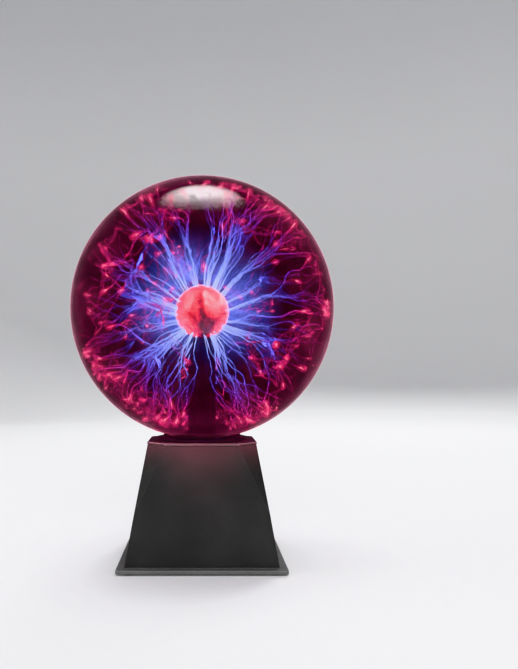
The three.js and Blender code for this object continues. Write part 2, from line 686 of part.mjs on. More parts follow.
function addLeads() {
  const padZ = PARTS_Z + 1;
  const jackEnd = fromRearPanel(JACK.x, 0, -15.8);
  add('supply_lead_positive', wire([
    jackEnd, [-17, 29, 27], [-22, 23, 22], [-23, 19, padZ],
  ], 0.8, 10), FINISH.insulationRed);
  const shellEnd = fromRearPanel(JACK.x, -2.6, -12.9);
  add('supply_lead_negative', wire([
    shellEnd, [-24, 31, 21], [-29, 26, 19], [-29, 12, padZ],
  ], 0.8, 10), FINISH.insulationBlack);
  const lead = (i) => fromRearPanel(SWITCH.x, (i - 1) * 5.5, -21.4);
  add('switch_lead_sound', wire([
    lead(0), [20, 25, 22], [24, 20, 19], [25, 17, padZ],
  ], 0.8, 10), FINISH.insulationWhite);
  add('switch_lead_common', wire([
    lead(1), [15, 26, 26], [6, 22, 22], [3, 17, padZ],
  ], 0.8, 10), FINISH.insulationRed);
  add('switch_lead_on', wire([
    lead(2), [22, 24, 30], [30, 19, 23], [32, 12, padZ],
  ], 0.8, 10), FINISH.insulationBlack);

  // From the side of the secondary winding, up through the boot and the stem's bore.
  add('high_voltage_lead', wire([
    [-34.5, -6, 29], [-36.5, -6, 29.2], [-38.5, -6, 33], [-34, -5, 45], [-18, -3, 50],
    [-5, -1, 50.5], [0, 0, 55], [0, 0, 62], [0, 0, 90], [0, 0, 130], [0, 0, ELECTRODE_Z - 13.8],
  ], 1.6, 44, 8), FINISH.insulationWhite);
}

addGlobe();
addStem();
addElectrode();
addStalkSleeve();
addGlobeSeat();
addHousing();
addTopPlate();
addBasePlate();
addFeetAndScrews();
addBoard();
addTransformer();
addSwitchingStage();
addSmallComponents();
addInlet();
addModeSwitch();
addLeads();

export default model;
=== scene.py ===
"""Plasma ball on a tapered base: looks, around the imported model. Metres, +Z up, front at -Y."""

import json
import math
import random

import bmesh
import bpy
from mathutils import Matrix, Vector, noise


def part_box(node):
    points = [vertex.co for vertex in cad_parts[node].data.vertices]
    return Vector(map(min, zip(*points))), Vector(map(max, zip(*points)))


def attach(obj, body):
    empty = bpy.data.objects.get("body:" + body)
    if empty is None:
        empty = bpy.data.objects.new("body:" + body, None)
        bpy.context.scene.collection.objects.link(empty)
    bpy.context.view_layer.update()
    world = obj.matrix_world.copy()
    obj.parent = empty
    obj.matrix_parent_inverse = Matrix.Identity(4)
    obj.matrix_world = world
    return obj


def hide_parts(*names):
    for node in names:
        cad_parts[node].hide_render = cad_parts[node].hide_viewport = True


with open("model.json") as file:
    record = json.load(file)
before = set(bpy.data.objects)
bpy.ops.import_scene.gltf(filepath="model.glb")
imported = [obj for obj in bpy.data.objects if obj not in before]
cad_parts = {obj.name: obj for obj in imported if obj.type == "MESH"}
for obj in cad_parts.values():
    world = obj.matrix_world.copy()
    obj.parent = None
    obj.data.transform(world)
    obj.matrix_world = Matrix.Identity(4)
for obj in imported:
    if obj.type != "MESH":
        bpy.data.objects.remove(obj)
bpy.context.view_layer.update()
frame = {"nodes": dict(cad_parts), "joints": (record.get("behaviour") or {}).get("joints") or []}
NODES = frame["nodes"]
BASE, ROCKER = "base", "rocker"
MM = 0.001
scene = bpy.context.scene

NOISE_SEED = 3
STRAND_SEED = 20
noise.seed_set(NOISE_SEED)       # unseeded, noise_vector takes its offsets from the clock

# ---- sizes read from the frame


def ball_of(node):
    """The centre and radius of a ball-shaped node whose top and equator are whole."""
    low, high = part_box(node)
    radius = (high.x - low.x) / 2
    return Vector((0, 0, high.z - radius)), radius


GLOBE_CENTRE, GLOBE_R = ball_of("glass_globe")
ELECTRODE_CENTRE, ELECTRODE_R = ball_of("electrode_bulb")
GLOBE_WALL = 2 * MM
INNER_R = GLOBE_R - GLOBE_WALL
SKIN_R = GLOBE_R - 0.8 * MM      # a thin skin, so that the lit limb reaches the outline
SLEEVE_LOW, SLEEVE_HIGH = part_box("stalk_sleeve")
SLEEVE_R = SLEEVE_HIGH.x
COLLAR_LOW, COLLAR_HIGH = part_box("collar_ring")
GASKET_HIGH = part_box("seat_gasket")[1]
HOUSING_LOW, HOUSING_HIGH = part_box("body_housing")
LID_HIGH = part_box("top_plate")[1]
NECK_LOW, NECK_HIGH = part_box("glass_neck")
NECK_R = NECK_HIGH.x
PIVOT = Vector(frame["joints"][0]["pos_m"])
UP = Vector((0, 0, 1))
FIT = 0.3 * MM                   # the CAD model's gap between pieces that touch
FULL_TURN = 2 * math.pi


def linked(name, data):
    """A new object in the scene."""
    thing = bpy.data.objects.new(name, data)
    scene.collection.objects.link(thing)
    return thing


# ---- camera

IMAGE_W, IMAGE_H = 518, 669
SENSOR = 36.0
CAMERA_HEIGHT = 0.137            # a little below the middle of the globe
CAMERA_DISTANCE = 0.573
GLOBE_AT = (202, 308)            # where the globe's centre falls in the frame
GLOBE_RADIUS_PX = 132


def add_camera():
    data = bpy.data.cameras.new("camera")
    camera = linked("camera", data)
    camera.location = (0, -CAMERA_DISTANCE, CAMERA_HEIGHT)
    to_globe = GLOBE_CENTRE - camera.location
    focal_px = GLOBE_RADIUS_PX / math.tan(math.asin(GLOBE_R / to_globe.length))
    data.sensor_fit = "VERTICAL"
    data.sensor_height = SENSOR
    data.lens = focal_px / IMAGE_H * SENSOR
    data.shift_x = (IMAGE_W / 2 - GLOBE_AT[0]) / IMAGE_H
    data.clip_start = 0.01
    data.clip_end = 50
    rise = math.atan2(to_globe.z, to_globe.y)
    pitch = rise - math.atan((IMAGE_H / 2 - GLOBE_AT[1]) / focal_px)
    camera.rotation_euler = (math.pi / 2 + pitch, 0, 0)
    scene.camera = camera


# ---- studio


PAPER = (0.78, 0.78, 0.79)
DAYLIGHT = (0.93, 0.95, 1.0)
DAYLIGHT_POWER = 0.2
LIT_POINT = (0, 0, 0.12)         # what the softboxes are aimed at
SOFTBOXES = [                    # name, place, size and power
    ("key_softbox", (0.05, -1.5, 1.0), (0.9, 0.8), 25),
    ("fill_softbox", (-1.4, 0.0, 0.7), (0.8, 1.0), 7),
    ("back_softbox", (0.5, 1.4, 1.0), (0.9, 0.9), 20),
    ("top_softbox", (0.0, 0.1, 1.7), (1.0, 0.6), 12),
]
PANEL_HALF = 0.55
PANEL_AT = (0, 0.25, 1.40)
PANEL_TILT = math.radians(10)
PANEL_POWER = 46.0


def area_light(name, place, target, size, power, colour=(1, 1, 1)):
    """A soft light that shines on the piece and isn't seen in it."""
    data = bpy.data.lights.new(name, "AREA")
    data.shape = "RECTANGLE"
    data.size, data.size_y = size
    data.energy = power
    data.color = colour
    light = linked(name, data)
    light.location = place
    light.rotation_euler = (Vector(target) - Vector(place)).to_track_quat("-Z", "Y").to_euler()
    light.visible_glossy = light.visible_transmission = False
    return light


def add_studio():
    """A pale floor that rises into a pale surround, with soft light from all round. The globe
    doesn't mirror the floor."""
    flat_r, rise_r, wall_h, steps = 1.6, 1.0, 1.3, 12
    profile = [(0, 0), (flat_r, 0)]
    for i in range(1, steps + 1):
        a = math.pi / 2 * i / steps
        profile.append((flat_r + rise_r * math.sin(a), rise_r * (1 - math.cos(a))))
    profile.append((flat_r + rise_r, rise_r + wall_h))
    mesh = turned_mesh("studio_floor", profile, 96)
    floor = linked("studio_floor", mesh)
    mesh.materials.append(principled("studio_paper", {
        "Base Color": PAPER, "Roughness": 0.9, "Specular IOR Level": 0.2,
    })[0])
    floor.visible_glossy = floor.visible_transmission = False

    world = bpy.data.worlds.new("studio")
    world.use_nodes = True
    feed(world.node_tree.nodes["Background"], {"Color": DAYLIGHT, "Strength": DAYLIGHT_POWER})
    scene.world = world

    for name, spot, size, power in SOFTBOXES:
        area_light(name, spot, LIT_POINT, size, power)
    add_overhead_panel()


def add_overhead_panel():
    """A soft-edged panel above and behind, which the globe's top mirrors."""
    mesh = bpy.data.meshes.new("overhead_panel")
    corners = [(x * PANEL_HALF, y * PANEL_HALF, 0) for x, y in ((-1, -1), (1, -1), (1, 1), (-1, 1))]
    mesh.from_pydata(corners, [], [(0, 1, 2, 3)])
    panel = linked("overhead_panel", mesh)
    panel.location = PANEL_AT
    panel.rotation_euler = (PANEL_TILT, 0, 0)
    panel.visible_camera = panel.visible_shadow = panel.visible_diffuse = False
    mat, tree, shader = principled("panel_light", {"Base Color": BLACK, "Emission Color": WHITE})
    off_middle = vector_maths(tree, "LENGTH", coordinates(tree))
    glow = between(tree, off_middle, PANEL_POWER, 0.0, 0.0, PANEL_HALF, smooth=True)
    feed(shader, {"Emission Strength": glow})
    mesh.materials.append(mat)


# ---- mesh helpers


def filleted(points, radius, steps=3, closed=True):
    """A profile with its corners rounded. radius is a number, or a list with one for each point."""
    count = len(points)
    radii = radius if isinstance(radius, (list, tuple)) else [radius] * count
    out = []
    for i, point in enumerate(points):
        ends = not closed and i in (0, count - 1)
        here = Vector(point)
        back = Vector(points[i - 1]) - here
        ahead = Vector(points[(i + 1) % count]) - here
        if ends or radii[i] <= 0 or back.length < 1e-9 or ahead.length < 1e-9:
            out.append(tuple(here))
            continue
        angle = back.angle(ahead)
        if angle > math.radians(176):
            out.append(tuple(here))
            continue
        reach = min(radii[i] / math.tan(angle / 2), back.length * 0.45, ahead.length * 0.45)
        start = here + back.normalized() * reach
        end = here + ahead.normalized() * reach
        for k in range(steps + 1):
            t = k / steps
            out.append(tuple(start * (1 - t) ** 2 + here * 2 * t * (1 - t) + end * t ** 2))
    return out


def turned_mesh(name, profile, sides, closed=False):
    """A profile of (radius, height) turned about Z. A closed one is a ring; an open one may start
    or end on the axis."""
    mesh = bpy.data.meshes.new(name)
    verts, faces, rings = [], [], []
    for r, z in profile:
        if r < 1e-9:
            rings.append([len(verts)] * sides)
            verts.append((0, 0, z))
            continue
        rings.append(list(range(len(verts), len(verts) + sides)))
        for k in range(sides):
            a = FULL_TURN * k / sides
            verts.append((r * math.cos(a), r * math.sin(a), z))
    pairs = list(zip(rings, rings[1:]))
    if closed:
        pairs.append((rings[-1], rings[0]))
    for low, high in pairs:
        for k in range(sides):
            n = (k + 1) % sides
            corners = [low[k], low[n], high[n], high[k]]
            face = [v for i, v in enumerate(corners) if v not in corners[:i]]
            if len(face) > 2:
                faces.append(face)
    mesh.from_pydata(verts, [], faces)
    mesh.update()
    outward(mesh)
    return mesh


def outward(mesh):
    """Faces pointing out, and smooth shading broken at sharp edges."""
    bm = bmesh.new()
    bm.from_mesh(mesh)
    bmesh.ops.recalc_face_normals(bm, faces=bm.faces)
    bm.to_mesh(mesh)
    bm.free()
    mesh.shade_smooth()
    mesh.set_sharp_from_angle(angle=math.radians(40))


def place(name, mesh, mat, body=BASE, stands_for=(), slot=None):
    """A visible piece that rides on a body and stands for CAD nodes."""
    piece = linked(name, mesh)
    for one in mat if isinstance(mat, (list, tuple)) else [mat]:
        mesh.materials.append(one)
    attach(piece, body)
    if stands_for:
        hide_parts(*stands_for)
    return piece


def arc(centre_z, radius, start, end, steps):
    """Profile points on a circle about the axis point at centre_z, by angle from straight down."""
    points = []
    for i in range(steps + 1):
        a = start + (end - start) * i / steps
        points.append((radius * math.sin(a), centre_z - radius * math.cos(a)))
    return points


def rounded_mesh(node, width, segments=3, sharpest=24):
    """A node's mesh as whole faces, with its edges rounded."""
    bm = bmesh.new()
    bm.from_mesh(NODES[node].data)
    bmesh.ops.remove_doubles(bm, verts=bm.verts, dist=1e-7)
    flat = math.radians(0.5)
    bmesh.ops.dissolve_limit(bm, angle_limit=flat, verts=bm.verts, edges=bm.edges)
    sharp = [e for e in bm.edges if e.is_manifold and e.calc_face_angle() > math.radians(sharpest)]
    # the bevel faces take material 1, a lighter plastic that paints a highlight along each edge
    bmesh.ops.bevel(
        bm, geom=sharp, offset=width, offset_type="OFFSET", segments=segments, profile=0.5,
        affect="EDGES", clamp_overlap=True, loop_slide=True, material=1,
    )
    bmesh.ops.recalc_face_normals(bm, faces=bm.faces)
    mesh = bpy.data.meshes.new(node + "_rounded")
    bm.to_mesh(mesh)
    bm.free()
    mesh.shade_smooth()
    mesh.set_sharp_from_angle(angle=math.radians(50))
    return mesh


def rounded(name, node, width, mats, segments=3, sharpest=24, body=BASE, slot=None):
    """A node with rounded edges; mats are one for its faces and one for its edges, the lighter
    second one a painted highlight.
    """
    piece = place(name, rounded_mesh(node, width, segments, sharpest), mats, body, [node], slot)
    even = piece.modifiers.new("even_normals", "WEIGHTED_NORMAL")
    even.keep_sharp = True
    return piece


# ---- material helpers

BLACK, WHITE = (0, 0, 0), (1, 1, 1)


def feed(node, values):
    """Sets a node's inputs, by name or number, to numbers, colours or other nodes' outputs."""
    for key, value in values.items():
        socket = node.inputs[key]
        if isinstance(value, bpy.types.NodeSocket):
            node.id_data.links.new(value, socket)
        else:
            socket.default_value = (*value, 1) if socket.type == "RGBA" else value
    return node


def node_of(tree, kind, values=None, **settings):
    """A new node, with its settings and its inputs."""
    node = tree.nodes.new("ShaderNode" + kind)
    for key, value in settings.items():
        setattr(node, key, value)
    return feed(node, values or {})


def blank_material(name):
    mat = bpy.data.materials.new(name)
    mat.use_nodes = True
    mat.node_tree.nodes.clear()
    return mat, mat.node_tree


def principled(name, values=None):
    mat, tree = blank_material(name)
    shader = node_of(tree, "BsdfPrincipled", values)
    node_of(tree, "OutputMaterial", {"Surface": shader.outputs[0]})
    return mat, tree, shader


def coordinates(tree, scale=(1, 1, 1), offset=(0, 0, 0)):
    """The piece's own coordinates, in metres, scaled and moved."""
    here = node_of(tree, "TexCoord").outputs["Object"]
    return node_of(tree, "Mapping", {"Vector": here, "Scale": scale, "Location": offset}).outputs[0]


def noise_of(tree, vector, scale, detail=3.0, roughness=0.5, distortion=0.0):
    return node_of(tree, "TexNoise", {
        "Vector": vector, "Scale": scale, "Detail": detail, "Roughness": roughness,
        "Distortion": distortion,
    }).outputs["Fac"]


def ramp(tree, fac, stops):
    """Colours by position: stops is [(position, (r, g, b)), ...]."""
    node = node_of(tree, "ValToRGB", {"Fac": fac})
    elements = node.color_ramp.elements
    while len(elements) < len(stops):
        elements.new(1.0)
    for element, (position, colour) in zip(elements, stops):
        element.position = position
        element.color = (*colour, 1)
    return node.outputs["Color"]


def between(tree, fac, low, high, from_low=0.0, from_high=1.0, smooth=False):
    """A number moved from one range into another, and kept inside it."""
    return node_of(tree, "MapRange", {
        "Value": fac, "From Min": from_low, "From Max": from_high, "To Min": low, "To Max": high,
    }, interpolation_type="SMOOTHSTEP" if smooth else "LINEAR").outputs["Result"]


def maths(tree, operation, *values):
    return node_of(tree, "Math", dict(enumerate(values)), operation=operation).outputs[0]


def times(tree, product, *factors):
    for factor in factors:
        product = maths(tree, "MULTIPLY", product, factor)
    return product


def vector_maths(tree, operation, *values):
    node = node_of(tree, "VectorMath", dict(enumerate(values)), operation=operation)
    return node.outputs["Value" if operation == "LENGTH" else "Vector"]


def split(tree, vector):
    return node_of(tree, "SeparateXYZ", {0: vector}).outputs


def tinted(tree, colour, value, gain=1.0):
    """A number, scaled, as so much of a colour."""
    scaled = maths(tree, "MULTIPLY", value, gain)
    grey = node_of(tree, "CombineXYZ", {i: scaled for i in range(3)}).outputs[0]
    return vector_maths(tree, "MULTIPLY", colour, grey)


def bump(tree, shader, height, strength, distance):
    values = {"Height": height, "Strength": strength, "Distance": distance}
    feed(shader, {"Normal": node_of(tree, "Bump", values).outputs[0]})


# ---- materials


def moulded(name, dark, light, roughness, grain=0.35 * MM, depth=0.05 * MM, strength=0.5):
    """Moulded plastic: a fine spark-eroded grain, slow changes of tone and patchy gloss."""
    mat, tree, shader = principled(name)
    here = coordinates(tree)
    tone = noise_of(tree, here, 28, 4, 0.6)
    fine = noise_of(tree, here, 1 / grain, 2, 0.6)
    both = maths(tree, "ADD", times(tree, tone, 0.8), times(tree, fine, 0.2))
    patches = noise_of(tree, here, 60, 5, 0.65)
    feed(shader, {
        "Base Color": ramp(tree, both, [(0.3, dark), (0.7, light)]),
        "Roughness": between(tree, patches, *roughness, 0.3, 0.7),
    })
    bump(tree, shader, fine, strength, depth)
    return mat


def metal(name, colour, roughness, stretch=(1, 1, 1), scale=900):
    """Drawn or plated metal, with fine lines along one way."""
    mat, tree, shader = principled(name, {"Metallic": 1.0})
    lines = noise_of(tree, coordinates(tree, stretch), scale, 4, 0.6)
    dull = tuple(c * 0.78 for c in colour)
    feed(shader, {
        "Base Color": ramp(tree, lines, [(0.3, dull), (0.7, colour)]),
        "Roughness": between(tree, lines, roughness * 0.8, roughness * 1.3, 0.3, 0.7),
    })
    bump(tree, shader, lines, 0.2, 0.03 * MM)
    return mat


def rubber_like(name, colour, roughness=0.85):
    """A soft, dusty surface: rubber, insulation, film or sintered ferrite."""
    mat, tree, shader = principled(name)
    here = coordinates(tree)
    dust = noise_of(tree, here, 220, 5, 0.7)
    pale = tuple(min(1, c * 1.6 + 0.01) for c in colour)
    feed(shader, {
        "Base Color": ramp(tree, dust, [(0.4, colour), (0.8, pale)]),
        "Roughness": between(tree, dust, roughness - 0.1, roughness + 0.08),
    })
    bump(tree, shader, noise_of(tree, here, 3500, 2), 0.3, 0.05 * MM)
    return mat


def wound(name, dark, light, pitch):
    """Turns of wire or tape round the Z axis, each band darker where turns meet: painted shade in
    the grooves.
    """
    mat, tree, shader = principled(name, {"Roughness": 0.4})
    turns = node_of(tree, "TexWave", {
        "Vector": coordinates(tree), "Scale": 0.314 / pitch, "Distortion": 0.6, "Detail": 2,
    }, wave_type="BANDS", bands_direction="Z").outputs["Fac"]
    # the dark end of the ramp is painted shade in the grooves between turns
    feed(shader, {"Base Color": ramp(tree, turns, [(0.1, dark), (0.8, light)])})
    bump(tree, shader, turns, 0.6, pitch * 0.4)
    return mat


def circuit_green(name):
    """Solder resist over copper tracks."""
    mat, tree, shader = principled(name, {"Roughness": 0.32})
    cells = node_of(tree, "TexVoronoi", {
        "Vector": coordinates(tree), "Scale": 160, "Randomness": 0.7,
    }, feature="DISTANCE_TO_EDGE", distance="MANHATTAN")
    tracks = between(tree, cells.outputs["Distance"], 0, 1, 0.08, 0.12)
    resist = ramp(tree, tracks, [(0.0, (0.02, 0.12, 0.05)), (1.0, (0.035, 0.22, 0.09))])
    feed(shader, {"Base Color": resist})
    bump(tree, shader, tracks, 0.4, 0.05 * MM)
    return mat


def clear_glass(name, tint, ior=1.47, **more):
    return principled(name, {
        "Base Color": tint, "Transmission Weight": 1.0, "Roughness": 0.0, "IOR": ior, **more,
    })[0]


def electrode_glow():
    """The electrode's lit surface: three soft dark clefts run down it, and between them it goes
    from deep red to a pink that is nearly white, in patches."""
    mat, tree, shader = principled("electrode_glow", {
        "Emission Strength": ELECTRODE_POWER, "Base Color": (0.05, 0.02, 0.02), "Roughness": 0.12,
    })
    here = coordinates(tree, offset=tuple(-ELECTRODE_CENTRE))
    x, y, z = split(tree, here)
    clefts = 3
    low, high = -0.7 * ELECTRODE_R, 0.75 * ELECTRODE_R

    turn = maths(tree, "ARCTAN2", x, times(tree, y, -1.0))
    wander = between(tree, noise_of(tree, here, 55, 1.5, 0.5), -0.22, 0.40, 0.3, 0.7)
    phase = times(tree, maths(tree, "ADD", turn, wander), clefts / 2)
    off_cleft = maths(tree, "ABSOLUTE", maths(tree, "SINE", phase))
    width = between(tree, z, 0.62, 0.20, low, high, smooth=True)
    widths_off = maths(tree, "POWER", maths(tree, "DIVIDE", off_cleft, width), 2.0)
    fade = between(tree, z, 0.92, 0.30, 0.05 * ELECTRODE_R, 0.95 * ELECTRODE_R, smooth=True)
    dark = times(tree, maths(tree, "EXPONENT", times(tree, widths_off, -1.0)), fade)
    patches = between(tree, noise_of(tree, here, 58, 3, 0.55, 0.6), -0.30, 0.34, 0.3, 0.7)
    heat = maths(tree, "ADD", maths(tree, "SUBTRACT", 0.76, times(tree, dark, 0.66)), patches)
    feed(shader, {"Emission Color": ramp(tree, heat, [
        (0.06, (0.010, 0.0, 0.002)), (0.24, (0.16, 0.0, 0.006)), (0.42, (0.60, 0.004, 0.016)),
        (0.62, (0.98, 0.03, 0.055)), (0.84, (1.0, 0.17, 0.20)), (1.0, (1.0, 0.60, 0.58)),
    ])})
    return mat


def glow_material(name, colour, strength):
    """A stretch of the discharge, the same all over."""
    return principled(name, {
        "Base Color": BLACK, "Roughness": 1.0, "Specular IOR Level": 0.0,
        "Emission Color": colour, "Emission Strength": strength,
    })[0]


def gas_material(name, values):
    """Glowing gas: a clear surface round a volume that gives light."""
    mat, tree = blank_material(name)
    light = node_of(tree, "Emission", values)
    clear = node_of(tree, "BsdfTransparent")
    node_of(tree, "OutputMaterial", {"Surface": clear.outputs[0], "Volume": light.outputs[0]})
    return mat, tree, light


def plain_gas(name, colour, strength):
    return gas_material(name, {"Color": colour, "Strength": strength})[0]


# ---- finishes in use

GLASS_TINT = (0.095, 0.090, 0.098)   # what one wall of the smoked globe lets through
GAIN = 1 / 0.094                     # makes up for that wall, for what glows inside
ELECTRODE_POWER = 1.2 * GAIN
COATED_IOR = 1.13                    # the globe's skin mirrors less than bare glass does
GLASS_SHEEN = {"Sheen Weight": 0.5, "Sheen Roughness": 0.10, "Sheen Tint": (1.0, 0.30, 0.45)}
LIMB_ROOM = 0.15 * MM                # between the glass and the CAD globe, for the limb's glow
ELECTRODE_WALL = 1.2 * MM

# ---- base


# The plastics of the base: material, dark tone, light tone and roughness. Each edge entry is a
# lighter copy for the bevels, a painted highlight along the edges.
PLASTICS = {
    "housing": ("housing_moulding", (0.036, 0.036, 0.035), (0.052, 0.051, 0.050), (0.5, 0.64)),
    "housing_edge_highlight": ("housing_edge_highlight", (0.13, 0.128, 0.125), (0.19, 0.187, 0.183), (0.4, 0.5)),
    "plate": ("plate_moulding", (0.11, 0.11, 0.108), (0.15, 0.15, 0.146), (0.36, 0.48)),
    "plate_edge_highlight": ("plate_edge_highlight", (0.24, 0.24, 0.236), (0.32, 0.32, 0.314), (0.36, 0.46)),
    "collar": ("collar_moulding", (0.012, 0.012, 0.014), (0.020, 0.020, 0.022), (0.35, 0.45)),
    "gloss_edge_highlight": ("switch_edge_highlight", (0.10, 0.10, 0.103), (0.14, 0.14, 0.144), (0.25, 0.35)),
}
GLOSS = "switch_moulding", (0.022, 0.022, 0.023), (0.030, 0.030, 0.031), (0.22, 0.32)


def base_finishes():
    finishes = {key: moulded(*values) for key, values in PLASTICS.items()}
    finishes["gloss"] = moulded(*GLOSS, grain=0.6 * MM, depth=0.01 * MM, strength=0.25)
    finishes["rubber"] = rubber_like("foot_rubber", (0.018, 0.018, 0.018))
    finishes["steel"] = metal("plated_steel", (0.55, 0.56, 0.58), 0.28)
    return finishes


def add_base(finish):
    # the second material of each pair paints a highlight on the rounded edges
    shell = finish["housing"], finish["housing_edge_highlight"]
    plate = finish["plate"], finish["plate_edge_highlight"]
    rounded("housing", "body_housing", 0.9 * MM, shell, sharpest=9, slot="housing_plastic")
    rounded("lid", "top_plate", 0.4 * MM, shell, slot="housing_plastic")
    rounded("plinth", "base_plate", 0.35 * MM, plate, segments=2, slot="plate_plastic")
    add_feet(finish["rubber"])
    add_base_screws(finish["steel"])


def ring_piece(name, profile, sides, mat, node, slot, at=None):
    mesh = turned_mesh(name, profile, sides, closed=True)
    if at:
        mesh.transform(at)
    return place(name, mesh, mat, BASE, [node], slot)


CORNERS = ["front_left", "front_right", "rear_left", "rear_right"]


def middle_of(node):
    low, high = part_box(node)
    return (low + high) / 2


def add_feet(mat):
    """Rubber feet, each with a rounded rim and a shallow dimple underneath."""
    for corner in CORNERS:
        node = f"foot_{corner}"
        low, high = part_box(node)
        r, h = (high.x - low.x) / 2, high.z
        profile = [(0, 0.35 * MM), (0.55 * r, 0.35 * MM), (0.62 * r, 0), (r, 0), (r, h), (0, h)]
        profile = filleted(profile, [0, 0.5 * MM, 0.4 * MM, 0.6 * MM, 0, 0], 4, closed=False)
        mesh = turned_mesh(node, profile, 48)
        at = middle_of(node)
        mesh.transform(Matrix.Translation((at.x, at.y, 0)))
        place(f"{node}_moulded", mesh, mat, BASE, [node], "rubber")


def add_base_screws(mat):
    """Pan-head screws with a cross recess, seen in the wells of the base plate."""
    for corner in CORNERS:
        node = f"base_screw_{corner}"
        low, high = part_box(node)
        at = middle_of(node)
        head_r, shank_r = (high.x - low.x) / 2, 1.5 * MM
        head_top = low.z + 2 * MM
        profile = [
            (0, low.z), (0.6 * head_r, low.z + 0.05 * MM), (head_r, low.z + 0.8 * MM),
            (head_r, head_top), (shank_r, head_top), (shank_r, high.z - 1.5 * MM), (0, high.z),
        ]
        radii = [0, 0.5 * MM, 0.5 * MM, 0.2 * MM, 0, 0.2 * MM, 0]
        profile = filleted(profile, radii, 3, closed=False)
        head = turned_mesh(node, profile, 40)
        cross = bmesh.new()
        for turn in (0, math.pi / 2):
            grown = bmesh.ops.create_cube(cross, size=1)["verts"]
            bmesh.ops.scale(cross, vec=(3.6 * MM, 0.75 * MM, 2.4 * MM), verts=grown)
            spin = Matrix.Rotation(turn + math.radians(20), 3, "Z")
            bmesh.ops.rotate(cross, cent=(0, 0, 0), matrix=spin, verts=grown)
        bmesh.ops.translate(cross, vec=(0, 0, low.z), verts=cross.verts)
        mesh = carved(head, cross)
        mesh.transform(Matrix.Translation((at.x, at.y, 0)))
        place(f"{node}_turned", mesh, mat, BASE, [node], "steel")


def carved(mesh, cutter_bm):
    """A mesh with a cutter's shape taken out of it."""
    cutter_mesh = bpy.data.meshes.new("cutter")
    cutter_bm.to_mesh(cutter_mesh)
    cutter_bm.free()
    body, cutter = linked("carved_body", mesh), linked("cutter", cutter_mesh)
    cut = body.modifiers.new("cut", "BOOLEAN")
    cut.operation, cut.solver, cut.object = "DIFFERENCE", "EXACT", cutter
    cut.use_self = True
    bpy.context.view_layer.update()
    evaluated = body.evaluated_get(bpy.context.evaluated_depsgraph_get())
    result = bpy.data.meshes.new_from_object(evaluated)
    bpy.data.objects.remove(body)
    bpy.data.objects.remove(cutter)
    result.shade_smooth()
    result.set_sharp_from_angle(angle=math.radians(35))
    return result


# ---- seat of the globe and the stalk


def on_ball(radius, from_r, to_r, steps):
    """Profile points on a ball about the globe's centre, below it, between two distances."""
    return arc(GLOBE_CENTRE.z, radius, math.asin(from_r / radius), math.asin(to_r / radius), steps)


def add_seat(finish):
    """The gasket under the globe, and the collar that holds it."""
    gasket_t = 1 * MM
    inner_r, outer_r = 25.5 * MM, GASKET_HIGH.x
    under = on_ball(GLOBE_R + FIT + gasket_t, inner_r, outer_r, 10)
    over = on_ball(GLOBE_R + FIT, inner_r, outer_r, 10)
    ring_piece("seat_gasket_moulded", under + over[::-1], 128, finish["rubber"], "seat_gasket",
               "rubber")

    collar_r, bore_r, spigot_r = COLLAR_HIGH.x, 24.5 * MM, 27 * MM
    foot_z, under_z = COLLAR_LOW.z, LID_HIGH.z + FIT
    seat = on_ball(GLOBE_R + 2 * FIT + gasket_t, bore_r, outer_r + 1 * MM, 12)
    outside = [
        (bore_r, foot_z), (spigot_r, foot_z), (spigot_r, under_z), (collar_r, under_z),
        (collar_r, under_z + 1.2 * MM), (collar_r - 0.8 * MM, under_z + 1.7 * MM), seat[-1],
    ]
    radii = [0, 0.3 * MM, 0, 0.3 * MM, 0.5 * MM, 0.4 * MM, 0.3 * MM]
    profile = filleted(outside + [seat[-2]], radii + [0], 4, closed=False)[:-1] + seat[::-1][1:]
    ring_piece("collar", profile, 128, finish["collar"], "collar_ring", "collar_plastic")


def add_stalk():
    """A black sleeve that narrows to a shoulder under the electrode."""
    bore, top_r, shoulder, lip = 5.8 * MM, 6.5 * MM, 27 * MM, 0.4 * MM
    top, foot = SLEEVE_HIGH.z, SLEEVE_LOW.z
    outside = [(bore, foot), (SLEEVE_R, foot)]
    steps = 24
    for i in range(steps + 1):
        t = i / steps
        grown = math.sin(math.pi / 2 * (1 - t) ** 0.95) ** 1.15
        outside.append((mixed(top_r, SLEEVE_R, grown), mixed(top - shoulder, top - lip, t)))
    outside += [(top_r - lip, top), (bore, top)]
    mat, tree, shader = principled("sleeve_shrink")
    streaks = noise_of(tree, coordinates(tree, (1, 1, 0.03)), 420, 3, 0.6)
    tones = [(0.35, (0.004, 0.004, 0.005)), (0.7, (0.012, 0.011, 0.014))]
    feed(shader, {
        "Base Color": ramp(tree, streaks, tones),
        "Roughness": between(tree, streaks, 0.16, 0.34, 0.3, 0.7),
    })
    bump(tree, shader, streaks, 0.25, 0.1 * MM)
    ring_piece("sleeve", outside, 96, mat, "stalk_sleeve", "sleeve_black")


def add_neck():
    inner = NECK_R - GLOBE_WALL
    foot, top = NECK_LOW.z, NECK_HIGH.z
    profile = [(inner, foot), (NECK_R, foot), (NECK_R, top), (inner, top)]
    glass = clear_glass("neck_glass", (0.80, 0.84, 0.84))
    ring_piece("neck_tube", profile, 96, glass, "glass_neck", "clear_glass")
    return glass


# ---- back wall: inlet and switch


def rear_panel():
    """The back wall's frame, as a matrix: X to the right from behind, Y up the wall, Z out."""
    lid_lap, pivot_out = 0.4 * MM, 0.5 * MM
    lean = math.atan((HOUSING_HIGH.x - (LID_HIGH.x - lid_lap)) / (HOUSING_HIGH.z - HOUSING_LOW.z))
    across = Vector((-1, 0, 0))
    up = Vector((0, -math.sin(lean), math.cos(lean)))
    out = across.cross(up)
    origin = PIVOT - out * pivot_out
    origin.x = 0
    turn = Matrix((across, up, out)).transposed().to_4x4()
    return Matrix.Translation(origin) @ turn


REAR_SPACING = 17 * MM           # how far the inlet and the switch are from the middle
ROCKER_RISE, ROCKER_RUN = 3.99 - 2.9, 7.5 - 3.0      # the slope of each half of the rocker


